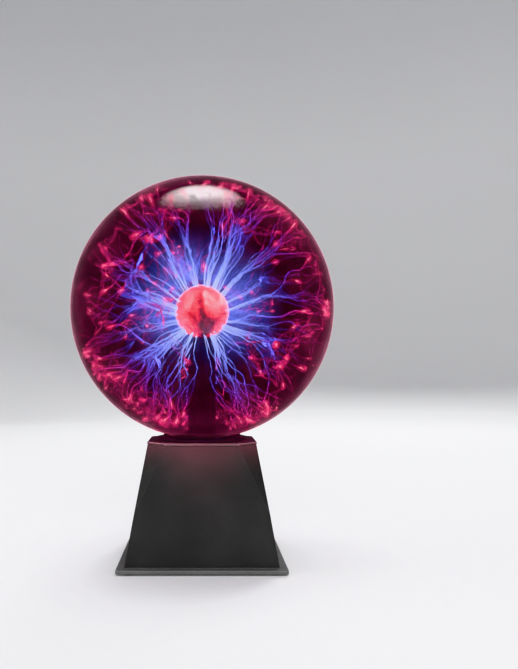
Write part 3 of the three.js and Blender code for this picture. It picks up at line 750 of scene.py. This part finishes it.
def add_rear(finish):
    panel = rear_panel()
    barrel_r, flange_r, bore_r, pin_hole = 3.9 * MM, 5.5 * MM, 2.9 * MM, 1.3 * MM
    face, back, floor = 1.5 * MM, -12 * MM, -9 * MM
    profile = [
        (pin_hole, back), (barrel_r, back), (barrel_r, 0.3 * MM), (flange_r, 0.3 * MM),
        (flange_r, face), (bore_r + 0.5 * MM, face), (bore_r, face - 0.5 * MM), (bore_r, floor),
        (pin_hole, floor),
    ]
    radii = [0, 0.3 * MM, 0, 0.15 * MM, 0.5 * MM, 0.3 * MM, 0.3 * MM, 0.2 * MM, 0]
    at = panel @ Matrix.Translation((REAR_SPACING, 0, 0))
    ring_piece("inlet", filleted(profile, radii, 4), 64, finish["gloss"], "inlet_jack",
               "component_plastic", at)
    # the second material paints a highlight on the rounded edges of the switch and rocker
    gloss = finish["gloss"], finish["gloss_edge_highlight"]
    rounded("switch_frame", "switch_housing", 0.35 * MM, gloss, slot="component_plastic")
    rounded("rocker", "mode_rocker", 0.3 * MM, gloss, body=ROCKER, slot="rocker_plastic")
    add_rocker_marks(panel)


def add_rocker_marks(panel):
    """Moulded-in white marks on the rocker: a bar at the on end and a ring at the sound end."""
    mat, tree, shader = principled("mark_paint", {"Roughness": 0.5})
    worn = ramp(tree, noise_of(tree, coordinates(tree), 900, 3),
                [(0.3, (0.55, 0.55, 0.53)), (0.6, (0.78, 0.78, 0.76))])
    feed(shader, {"Base Color": worn})
    slope = math.atan2(ROCKER_RISE, ROCKER_RUN)
    along, height = 5.2 * MM, 3.43 * MM
    pivot = panel.inverted() @ PIVOT
    for name, end in (("on_mark", 1), ("sound_mark", -1)):
        bm = bmesh.new()
        if end > 0:
            bmesh.ops.create_cube(bm, size=1)
            bmesh.ops.scale(bm, vec=(0.7 * MM, 2.6 * MM, 0.24 * MM), verts=bm.verts)
            bmesh.ops.bevel(bm, geom=bm.edges[:], offset=0.08 * MM, segments=2, affect="EDGES")
        else:
            in_r, out_r, half = 0.85 * MM, 1.35 * MM, 0.12 * MM
            section = [(in_r, -half), (out_r, -half), (out_r, half), (in_r, half)]
            bm.from_mesh(turned_mesh("ring", filleted(section, 0.08 * MM, 2), 40, closed=True))
        mesh = bpy.data.meshes.new(name)
        bm.to_mesh(mesh)
        bm.free()
        mesh.shade_smooth()
        local = Matrix.Translation(pivot + Vector((0, end * along, height)))
        mesh.transform(panel @ local @ Matrix.Rotation(end * slope, 4, "X"))
        place(name, mesh, mat, ROCKER, slot="rocker_plastic")


# ---- pieces kept from the frame


def add_inner_finishes(finish, neck_glass):
    """What is inside the base, and the small metal pieces."""
    for mat, *nodes in (
        (neck_glass, "glass_stem"),
        (metal("steel_wool_fibres", (0.50, 0.46, 0.45), 0.5, (1, 1, 0.2), 2600), "electrode_wool"),
        (rubber_like("silicone_rubber", (0.42, 0.42, 0.40), 0.5), "neck_sealant_bead", "neck_boot"),
        (circuit_green("solder_resist"), "circuit_board"),
        (finish["steel"], *[f"board_screw_{i}" for i in range(1, 5)], "heat_sink_screw",
         "inlet_nut"),
        (rubber_like("sintered_ferrite", (0.035, 0.034, 0.036), 0.7), "transformer_core"),
        (wound("winding_tape_turns", (0.45, 0.33, 0.05), (0.70, 0.55, 0.12), 3 * MM),
         "secondary_winding"),
        (wound("enamelled_wire", (0.28, 0.08, 0.02), (0.75, 0.32, 0.12), 0.7 * MM),
         "primary_winding"),
        (metal("extruded_aluminium", (0.70, 0.71, 0.72), 0.38, (1, 1, 0.05), 1500), "heat_sink",
         "microphone_capsule"),
        (metal("brass_contact", (0.78, 0.55, 0.22), 0.3), "inlet_pin",
         *[f"switch_terminal_{name}" for name in ("sound", "common", "on")]),
        (finish["gloss"], "switching_transistor", "timing_capacitor", "oscillator_chip"),
        (rubber_like("capacitor_film", (0.02, 0.05, 0.20), 0.35), "reservoir_capacitor"),
        (rubber_like("red_insulation", (0.45, 0.01, 0.01), 0.45), "supply_lead_positive",
         "switch_lead_common"),
        (rubber_like("black_insulation", (0.012, 0.012, 0.012), 0.45), "supply_lead_negative",
         "switch_lead_on"),
        (rubber_like("white_insulation", (0.60, 0.59, 0.56), 0.45), "switch_lead_sound",
         "high_voltage_lead"),
    ):
        for node in nodes:
            data = NODES[node].data
            data.materials.clear()
            data.materials.append(mat)


# ---- globe


def two_balls(centre, inner, outer, steps):
    """The profile of a wall between two balls, open below. Each ball is its radius and the angle,
    from straight down, of its mouth."""
    inside, outside = (
        arc(centre.z, radius, mouth, math.pi, steps)[:-1] + [(0, centre.z + radius)]
        for radius, mouth in (inner, outer)
    )
    return inside[::-1] + outside


def add_globe():
    outer_r = GLOBE_R - LIMB_ROOM
    inner = SKIN_R, math.asin((NECK_R - GLOBE_WALL) / SKIN_R)
    outer = outer_r, math.asin(NECK_R / outer_r)
    mesh = turned_mesh("globe", two_balls(GLOBE_CENTRE, inner, outer, 72), 144)
    glass = clear_glass("smoked_glass", GLASS_TINT, COATED_IOR, **GLASS_SHEEN)
    place("globe", mesh, glass, BASE, ["glass_globe"], "globe_glass")


def add_electrode():
    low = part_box("electrode_bulb")[0].z
    mouth = math.acos((ELECTRODE_CENTRE.z - low) / ELECTRODE_R)
    inner_r = ELECTRODE_R - ELECTRODE_WALL
    inner = inner_r, math.asin(ELECTRODE_R * math.sin(mouth) / inner_r)
    profile = two_balls(ELECTRODE_CENTRE, inner, (ELECTRODE_R, mouth), 40)
    mesh = turned_mesh("electrode", profile, 72)
    place("electrode", mesh, electrode_glow(), BASE, ["electrode_bulb"], "electrode_glass")


# ---- discharge

TOUCH_R = INNER_R - 0.9 * MM     # where the streamers meet the glass
ROOT_R = ELECTRODE_R + 0.05 * MM
BUNDLES, SINGLES = 24, 36
STRANDS_EACH = (2, 3, 4, 6, 8)   # strands in a bundle
BESIDE_STALK = 30                # single strands that run down round the stalk
LOWEST = -0.93                   # the lowest heading, as a height on the unit ball
ROOT_LOWEST = -0.86              # the lowest root beside the stalk, in the same measure
STALK_CONE = -0.955              # below this a strand would end in the stalk
FRONT_LOWEST, FRONT_HALF = -0.25, 0.16               # the patch in front of the stalk, kept clear
TWIG_TOUCHES = 0.25              # the share of the twigs that end in a bright spot
LARGEST_PUFF = 1.6
WEB_REACH = 30 * MM              # the longest arc over the glass
WEB_SKIPS = 0.45                 # the share of the neighbours that no arc joins
BANDS = 16                       # steps of colour from the electrode out to the glass

# How the light changes on the way out: (share of the way, colour, strength).
GLOW_STOPS = [
    (0.00, (0.66, 0.76, 1.00), 2.4),
    (0.10, (0.42, 0.54, 1.00), 1.8),
    (0.30, (0.26, 0.34, 1.00), 1.25),
    (0.55, (0.22, 0.22, 1.00), 0.95),
    (0.70, (0.36, 0.12, 0.85), 0.80),
    (0.84, (0.85, 0.08, 0.42), 0.90),
    (1.00, (1.00, 0.07, 0.20), 1.15),
]


def mixed(a, b, t):
    return a + (b - a) * t


def glow_at(share):
    """Colour and strength of the discharge at a share of the way out."""
    for (s0, c0, p0), (s1, c1, p1) in zip(GLOW_STOPS, GLOW_STOPS[1:]):
        if share <= s1:
            t = (share - s0) / (s1 - s0)
            return tuple(mixed(a, b, t) for a, b in zip(c0, c1)), mixed(p0, p1, t)
    return GLOW_STOPS[-1][1:]


def glow_bands(name, power):
    """One material for each step of colour."""
    mats = []
    for band in range(BANDS):
        colour, strength = glow_at((band + 0.5) / BANDS)
        mats.append(glow_material(f"{name}_{band:02d}", colour, strength * power * GAIN))
    return mats


def smooth(t):
    t = max(0.0, min(1.0, t))
    return t * t * (3 - 2 * t)


def turned_by(direction, angle, rng):
    """A direction turned by an angle, towards a random side."""
    side = direction.orthogonal().normalized()
    side.rotate(Matrix.Rotation(rng.uniform(0, FULL_TURN), 3, direction))
    return (direction * math.cos(angle) + side * math.sin(angle)).normalized()


def spread(count, jitter, rng):
    """Directions spread evenly round the electrode, except straight down, where the stalk is."""
    found = []
    golden = math.pi * (3 - math.sqrt(5))
    for i in range(count):
        z = 1 - (1 - LOWEST) * (i + 0.5) / count
        r = math.sqrt(1 - z * z)
        even = Vector((r * math.cos(golden * i), r * math.sin(golden * i), z))
        found.append(turned_by(even, abs(rng.gauss(0, jitter)), rng))
    return found


def waver(seed, at, size):
    """A smooth random shift, the same each time for the same seed."""
    return noise.noise_vector(Vector((seed * 7.31, at, seed * 1.73))) * size


def out_from_centre(share, direction, shift=Vector()):
    """A point a share of the way from the electrode's surface to the glass."""
    middle = ELECTRODE_CENTRE.lerp(GLOBE_CENTRE, share)
    reach = mixed(ROOT_R, TOUCH_R, share)
    heading = (direction * reach + shift).normalized()
    return middle + heading * reach


class Gathered:
    """Many closed shapes in one mesh."""

    SMOOTH = True

    def __init__(self):
        self.verts, self.faces = [], []

    def piece(self, name, mats):
        mesh = bpy.data.meshes.new(name)
        mesh.from_pydata([tuple(v) for v in self.verts], [], self.faces)
        mesh.update()
        if self.SMOOTH:
            mesh.shade_smooth()
        return place(name, mesh, mats)


class Tubes(Gathered):
    """Thin tapered tubes, with a colour step for each stretch."""

    def __init__(self, sides):
        super().__init__()
        self.sides = sides
        self.bands = []

    def add(self, points, radii):
        side = (points[1] - points[0]).orthogonal().normalized()
        rings = []
        for i, (point, radius) in enumerate(zip(points, radii)):
            ahead = (points[min(i + 1, len(points) - 1)] - points[max(i - 1, 0)]).normalized()
            side = (side - ahead * side.dot(ahead)).normalized()
            other = ahead.cross(side)
            rings.append(len(self.verts))
            for k in range(self.sides):
                a = FULL_TURN * k / self.sides
                self.verts.append(point + (side * math.cos(a) + other * math.sin(a)) * radius)
        for i, (low, high) in enumerate(zip(rings, rings[1:])):
            band = self.band_of((points[i] + points[i + 1]) / 2)
            for k in range(self.sides):
                n = (k + 1) % self.sides
                self.put((low + k, low + n, high + n, high + k), band)
        first, last = self.band_of(points[0]), self.band_of(points[-1])
        self.put(tuple(rings[0] + k for k in reversed(range(self.sides))), first)
        self.put(tuple(rings[-1] + k for k in range(self.sides)), last)

    def put(self, face, band):
        self.faces.append(face)
        self.bands.append(band)

    def band_of(self, point):
        share = ((point - GLOBE_CENTRE).length - ROOT_R) / (TOUCH_R - ROOT_R)
        return max(0, min(BANDS - 1, int(share * BANDS)))

    def piece(self, name, mats):
        super().piece(name, mats).data.polygons.foreach_set("material_index", self.bands)


class Streamer:
    """One strand of the discharge: it leaves the electrode with its bundle, parts from it on the
    way, and ends at its own place on the glass."""

    STEPS = 30
    RISE = 7 * MM                # level strands arch upwards, as hot gas does
    BUNDLE_SWING, OWN_SWING, OWN_START, TREMOR = 17 * MM, 9 * MM, 1.4 * MM, 1.3 * MM

    def __init__(self, root, end, parting, seed, bundle_seed):
        self.root, self.end, self.parting = root, end, parting
        self.seed, self.bundle_seed = seed, bundle_seed

    def at(self, share):
        apart = smooth((share - self.parting) / (1 - self.parting)) if share > self.parting else 0.0
        heading = self.root.lerp(self.end, apart).normalized()
        level = math.sqrt(max(0.0, 1 - heading.z ** 2))
        lift = UP * (self.RISE * level * math.sin(math.pi * share))
        together = waver(self.bundle_seed, share * 2.6, self.BUNDLE_SWING * share ** 1.2)
        own = self.OWN_SWING * apart + self.OWN_START * smooth(share * 4)
        alone = waver(self.seed, share * 4.6, own)
        fine = waver(self.seed + 50, share * 17, self.TREMOR * smooth(share * 3))
        return out_from_centre(share, heading, lift + together + alone + fine)

    def points(self, start=0.0):
        return [self.at(mixed(start, 1.0, i / self.STEPS)) for i in range(self.STEPS + 1)]


def plan_streamers(rng):
    """Bundles of strands all round the electrode, single strands between them, and more beside
    the stalk. None leaves it straight to the front, so its face shows."""
    bundles = []
    for b, root in enumerate(spread(BUNDLES, 0.2, rng)):
        strands = []
        for k in range(rng.choice(STRANDS_EACH)):
            start = turned_by(off_the_face(root, -0.3), rng.uniform(0, 0.10), rng)
            end = turned_by(root, abs(rng.gauss(0.12, 0.22)), rng)
            strands.append(Streamer(start, end, rng.uniform(0.05, 0.5), 10 * b + k, 900 + b))
        bundles.append(strands)
    for s, end in enumerate(spread(SINGLES, 0.25, rng)):
        root = off_the_face(turned_by(end, rng.uniform(0, 0.3), rng), -0.45)
        bundles.append([Streamer(root, end, 0.0, 2000 + s, 3000 + s)])
    bundles = [[s for s in strands if not over_stalk(s.end)] for strands in bundles]
    for k in range(BESIDE_STALK):
        turn = FULL_TURN * (k + rng.uniform(-0.3, 0.3)) / BESIDE_STALK
        down = math.radians(rng.uniform(18, 42))
        level = math.sin(down)
        end = Vector((level * math.cos(turn), level * math.sin(turn), -math.cos(down)))
        root = turned_by(end, rng.uniform(0, 0.25), rng)
        root.z = max(root.z, ROOT_LOWEST)
        if not over_stalk(end):
            bundles.append([Streamer(root.normalized(), end, 0.0, 4000 + k, 4500 + k)])
    return bundles


def over_stalk(end):
    """Whether a strand would end in the stalk, or hang in front of it."""
    in_front = end.z < FRONT_LOWEST and end.y < 0 and abs(end.x) < FRONT_HALF
    return end.z < STALK_CONE or in_front


def off_the_face(direction, limit):
    """A direction swung aside where it points too much to the front."""
    if direction.y > limit:
        return direction
    aside = Vector((direction.x, 0, direction.z)).normalized() * math.sqrt(1 - limit ** 2)
    return Vector((aside.x, limit, aside.z)).normalized()


def add_discharge():
    rng = random.Random(STRAND_SEED)
    strands, twigs, web = Tubes(5), Tubes(4), Tubes(3)
    curtains = [Sheets() for _ in CURTAINS]
    puffs, hearts, cores = Blobs(2), Blobs(1), Blobs(1)
    touches = []

    for streamers in plan_streamers(rng):
        for streamer in streamers:
            points = streamer.points()
            thick = rng.lognormvariate(-0.25, 0.4)
            steps = len(points) - 1
            strands.add(points, [mixed(0.40, 0.17, (i / steps) ** 0.6) * thick * MM
                                 for i in range(steps + 1)])
            touches.append((points[-1], (points[-1] - points[-4]).normalized()))
            for _ in range(rng.randint(1, 3)):
                share = rng.uniform(0.4, 0.9)
                start = streamer.at(share)
                heading = (start - GLOBE_CENTRE).normalized()
                end = turned_by(heading, rng.uniform(0.06, 0.22), rng)
                path = twig_path(start, share, heading, end, rng.uniform(5000, 9000))
                last = len(path) - 1
                twigs.add(path, [mixed(0.16, 0.09, i / last) * MM for i in range(last + 1)])
                if rng.random() < TWIG_TOUCHES:
                    touches.append((path[-1], (path[-1] - path[-3]).normalized()))
        hang_curtains(curtains, streamers)

    for spot, heading in touches:
        size = min(rng.lognormvariate(-0.05, 0.42), LARGEST_PUFF)
        centre = pulled_inside(spot - heading * (2.8 * MM * size), INNER_R - 2.6 * MM * size)
        for blobs, length, width in ((puffs, 5.2, 2.7), (hearts, 3.0, 1.1), (cores, 1.4, 0.34)):
            blobs.add(centre, heading, length * MM * size, width * MM * size)

    join_touches(web, [spot for spot, _ in touches], rng)

    strands.piece("streamers", glow_bands("streamer_glow", 1.0))
    twigs.piece("twigs", glow_bands("twig_glow", 0.75))
    web.piece("glass_web", glow_bands("web_glow", 0.5))
    for i, (sheets, (_, _, colour, power)) in enumerate(zip(curtains, CURTAINS)):
        sheets.piece(f"curtain_{i}", plain_gas(f"curtain_gas_{i}", colour, power * GAIN))
    puffs.piece("touch_haze", plain_gas("touch_haze_gas", (1.0, 0.06, 0.18), 66 * GAIN))
    hearts.piece("touch_hearts", plain_gas("touch_heart_gas", (1.0, 0.12, 0.26), 190 * GAIN))
    cores.piece("touch_spots", glow_material("touch_spot_glow", (1.0, 0.34, 0.42), 1.6 * GAIN))


# The stretches of a curtain: (from, to, colour, power for each metre of gas).
CURTAINS = [
    (0.01, 0.10, (0.26, 0.38, 1.0), 62),
    (0.10, 0.20, (0.20, 0.30, 1.0), 60),
    (0.20, 0.32, (0.16, 0.24, 1.0), 74),
    (0.32, 0.46, (0.13, 0.18, 1.0), 74),
    (0.46, 0.64, (0.13, 0.14, 0.95), 58),
]


def hang_curtains(curtains, streamers):
    """Thin sheets of light between the strands of a bundle."""
    if len(streamers) < 2:
        return
    axis = streamers[0].root
    side = axis.orthogonal().normalized()
    other = axis.cross(side)
    around = sorted(streamers, key=lambda s: math.atan2(s.end.dot(other), s.end.dot(side)))
    for one, two in zip(around, around[1:]):
        for sheets, (start, end, _, _) in zip(curtains, CURTAINS):
            sheets.add(one, two, start, end)


class Sheets(Gathered):
    """Thin closed sheets that span from one strand to another."""

    SMOOTH = False
    ALONG, ACROSS = 4, 4
    THICKNESS = 1.3 * MM
    SAG = 0.35                   # how far the middle hangs back, for each unit of width

    def add(self, one, two, start, end):
        grid = []
        for i in range(self.ALONG + 1):
            share = mixed(start, end, i / self.ALONG)
            a, b = one.at(share), two.at(share)
            row = []
            for k in range(self.ACROSS + 1):
                t = k / self.ACROSS
                sag = -self.SAG * (b - a).length * math.sin(math.pi * t) * share
                point = a.lerp(b, t)
                row.append(point + (point - GLOBE_CENTRE).normalized() * sag)
            grid.append(row)
        across = grid[-1][-1] - grid[-1][0]
        if across.length < 0.5 * MM:
            return
        normal = across.cross(grid[-1][0] - grid[0][0]).normalized() * (self.THICKNESS / 2)
        first = len(self.verts)
        for sign in (1, -1):
            self.verts += [p + normal * sign for row in grid for p in row]
        wide, long = self.ACROSS + 1, self.ALONG + 1
        layer = wide * long
        for i in range(self.ALONG):
            for k in range(self.ACROSS):
                a = first + i * wide + k
                quad = (a, a + 1, a + wide + 1, a + wide)
                self.faces.append(quad)
                self.faces.append(tuple(v + layer for v in reversed(quad)))
        edge = list(range(wide))
        edge += [i * wide + wide - 1 for i in range(1, long)]
        edge += [layer - 1 - k for k in range(1, wide)]
        edge += [i * wide for i in range(long - 2, 0, -1)]
        for here, ahead in zip(edge, edge[1:] + edge[:1]):
            a, b = first + here, first + ahead
            self.faces.append((b, a, a + layer, b + layer))


def twig_path(start, share, heading, end, seed, steps=9):
    """A fine side branch, from a point on a strand out to the glass."""
    points = []
    for i in range(steps + 1):
        t = i / steps
        along = mixed(share, 1.0, t)
        way = heading.lerp(end, t ** 0.8).normalized()
        shift = waver(seed, t * 3, 5 * MM * t) + waver(seed + 9, t * 9, 1.2 * MM * t)
        points.append(out_from_centre(along, way, shift))
    points[0] = start
    return points


def pulled_inside(point, limit):
    off = point - GLOBE_CENTRE
    return point if off.length <= limit else GLOBE_CENTRE + off.normalized() * limit


class Blobs(Gathered):
    """Drop-shaped spots of light."""

    WAIST, FLARE = 0.62, 0.38    # the width at the middle, and what the wide end adds to it

    def __init__(self, level):
        super().__init__()
        source = bmesh.new()
        bmesh.ops.create_icosphere(source, subdivisions=level, radius=1)
        source.verts.ensure_lookup_table()
        self.shape = [v.co.copy() for v in source.verts]
        self.shape_faces = [[v.index for v in f.verts] for f in source.faces]
        source.free()

    def add(self, centre, heading, half_length, half_width):
        turn = heading.to_track_quat("Z", "Y")
        first = len(self.verts)
        for v in self.shape:
            narrow = half_width * (self.WAIST + self.FLARE * v.z)
            spot = Vector((v.x * narrow, v.y * narrow, v.z * half_length))
            spot.rotate(turn)
            self.verts.append(pulled_inside(centre + spot, INNER_R - 0.3 * MM))
        self.faces += [[first + i for i in face] for face in self.shape_faces]


def join_touches(web, touches, rng):
    """Thin arcs that creep over the glass from one touching place to its neighbours."""
    done = set()
    for i, here in enumerate(touches):
        by_distance = sorted(range(len(touches)), key=lambda j: (touches[j] - here).length)
        for j in by_distance[1:6]:
            pair = (min(i, j), max(i, j))
            gap = (touches[j] - here).length
            if pair in done or gap > WEB_REACH or rng.random() < WEB_SKIPS:
                continue
            done.add(pair)
            steps = 8
            path = []
            for k in range(steps + 1):
                t = k / steps
                bend = waver(i + j * 0.37, t * 4, 5 * MM * math.sin(math.pi * t))
                off = here.lerp(touches[j], t) + bend - GLOBE_CENTRE
                depth = TOUCH_R - 5 * MM * math.sin(math.pi * t) * rng.uniform(0.6, 1.0)
                path.append(GLOBE_CENTRE + off.normalized() * depth)
            web.add(path, [0.16 * MM] * len(path))


def add_spill():
    """The discharge's light on the top of the base, from just under the globe."""
    count, reach, below = 16, 56 * MM, 3 * MM
    target, size, power, colour = (0, 0, 0.05), (0.016, 0.016), 0.0040, (1.0, 0.16, 0.30)
    height = GLOBE_CENTRE.z - math.sqrt(GLOBE_R ** 2 - reach ** 2) - below
    for i in range(count):
        a = FULL_TURN * (i + 0.5) / count
        spot = (reach * math.cos(a), reach * math.sin(a), height)
        lamp = area_light(f"spill_{i}", spot, target, size, power, colour)
        lamp.data.spread = math.radians(84)
        lamp.visible_camera = False


# ---- haze in the gas

HAZE_R = INNER_R - 0.8 * MM
HAZE_STEP = 4 * MM
BLUE_HAZE, PINK_HAZE = 58.0, 2.6
RIM_GLOW = 90.0
LIMB_GLOW = 80.0                 # a faint skin of light on the outside of the glass


def volume_step(radius):
    """The step rate that gives HAZE_STEP in a ball of this radius."""
    return HAZE_STEP / (0.1 * 2 * radius)


def haze_material():
    """Blue curtains that stand out from the electrode, and pink patches near the glass."""
    mat, tree, light = gas_material("haze_gas", {"Strength": GAIN})
    here = coordinates(tree, offset=tuple(-GLOBE_CENTRE))
    distance = vector_maths(tree, "LENGTH", here)
    heading = vector_maths(tree, "NORMALIZE", here)

    folds = noise_of(tree, heading, 2.6, 2.5, 0.55, 0.5)
    ridge = maths(tree, "ABSOLUTE", maths(tree, "SUBTRACT", folds, 0.5))
    sheet = maths(tree, "POWER", between(tree, ridge, 1.0, 0.0, 0.0, 0.10), 2.2)
    streaks = between(tree, noise_of(tree, heading, 11, 2), 0.2, 1.4, 0.35, 0.65)
    near = maths(tree, "POWER", between(tree, distance, 1, 0, ROOT_R, 0.66 * GLOBE_R), 1.7)
    blue = maths(tree, "ADD", times(tree, sheet, streaks, near), times(tree, near, 0.08))
    above = between(tree, split(tree, here)["Z"], 0.15, 1, -2.4 * ELECTRODE_R, -0.4 * ELECTRODE_R,
                    smooth=True)
    off_face = between(tree, split(tree, heading)["Y"], 0.05, 1, -0.9, -0.45, smooth=True)
    blue = times(tree, blue, above, off_face)

    patches = noise_of(tree, here, 52, 2.5, 0.6, 0.3)
    blotch = between(tree, patches, 0, 1, 0.54, 0.72, smooth=True)
    far = between(tree, distance, 0, 1, 0.70 * GLOBE_R, INNER_R, smooth=True)
    pink = times(tree, maths(tree, "ADD", blotch, 0.02), far)

    feed(light, {"Color": vector_maths(
        tree, "ADD", tinted(tree, (0.16, 0.26, 1.0), blue, BLUE_HAZE),
        tinted(tree, (1.0, 0.05, 0.22), pink, PINK_HAZE),
    )})
    mat.cycles.volume_step_rate = volume_step(HAZE_R)
    return mat


def rim_material():
    """A skin of glow on the inside of the glass, in patches, which piles up along the limb."""
    mat, tree, light = gas_material("rim_gas", {"Strength": RIM_GLOW * GAIN})
    folds = noise_of(tree, coordinates(tree, offset=tuple(-GLOBE_CENTRE)), 42, 3, 0.6, 0.4)
    patches = between(tree, folds, 0.14, 1, 0.44, 0.66, smooth=True)
    feed(light, {"Color": tinted(tree, (1.0, 0.24, 0.40), patches)})
    mat.cycles.volume_step_rate = volume_step(SKIN_R)
    return mat


def ball_shell(name, centre, outer, inner, mat, mouth, sides=96, steps=60):
    """A closed skin between two balls, open below where the stalk passes."""
    ends = [(radius, math.asin(mouth / radius)) for radius in (inner, outer)]
    mesh = turned_mesh(name, two_balls(centre, *ends, steps), sides)
    bm = bmesh.new()
    bm.from_mesh(mesh)
    bmesh.ops.holes_fill(bm, edges=[e for e in bm.edges if e.is_boundary])
    bm.to_mesh(mesh)
    bm.free()
    return place(name, mesh, mat)


def add_haze():
    stalk = 1.4 * SLEEVE_R
    ball_shell("gas_haze", GLOBE_CENTRE, HAZE_R, ELECTRODE_R + 2.2 * MM, haze_material(), stalk)
    ball_shell("rim_glow", GLOBE_CENTRE, SKIN_R - 0.08 * MM, SKIN_R - 0.28 * MM, rim_material(),
               stalk, 144, 72)
    limb = plain_gas("limb_gas", (1.0, 0.24, 0.42), LIMB_GLOW)
    ball_shell("limb_glow", GLOBE_CENTRE, GLOBE_R, GLOBE_R - 0.12 * MM, limb, 31 * MM, 144, 72)
    corona = plain_gas("corona_gas", (1.0, 0.46, 0.54), 90 * GAIN)
    ball_shell("electrode_corona", ELECTRODE_CENTRE, ELECTRODE_R + 1.1 * MM,
               ELECTRODE_R + 0.1 * MM, corona, 1.05 * SLEEVE_R, 72, 40)


scene.view_settings.view_transform = "Khronos PBR Neutral"
scene.cycles.transparent_max_bounces = 128

finish = base_finishes()

add_camera()
add_studio()
add_base(finish)
add_seat(finish)
add_stalk()
add_inner_finishes(finish, add_neck())
add_rear(finish)
add_spill()
add_globe()
add_electrode()
add_discharge()
add_haze()
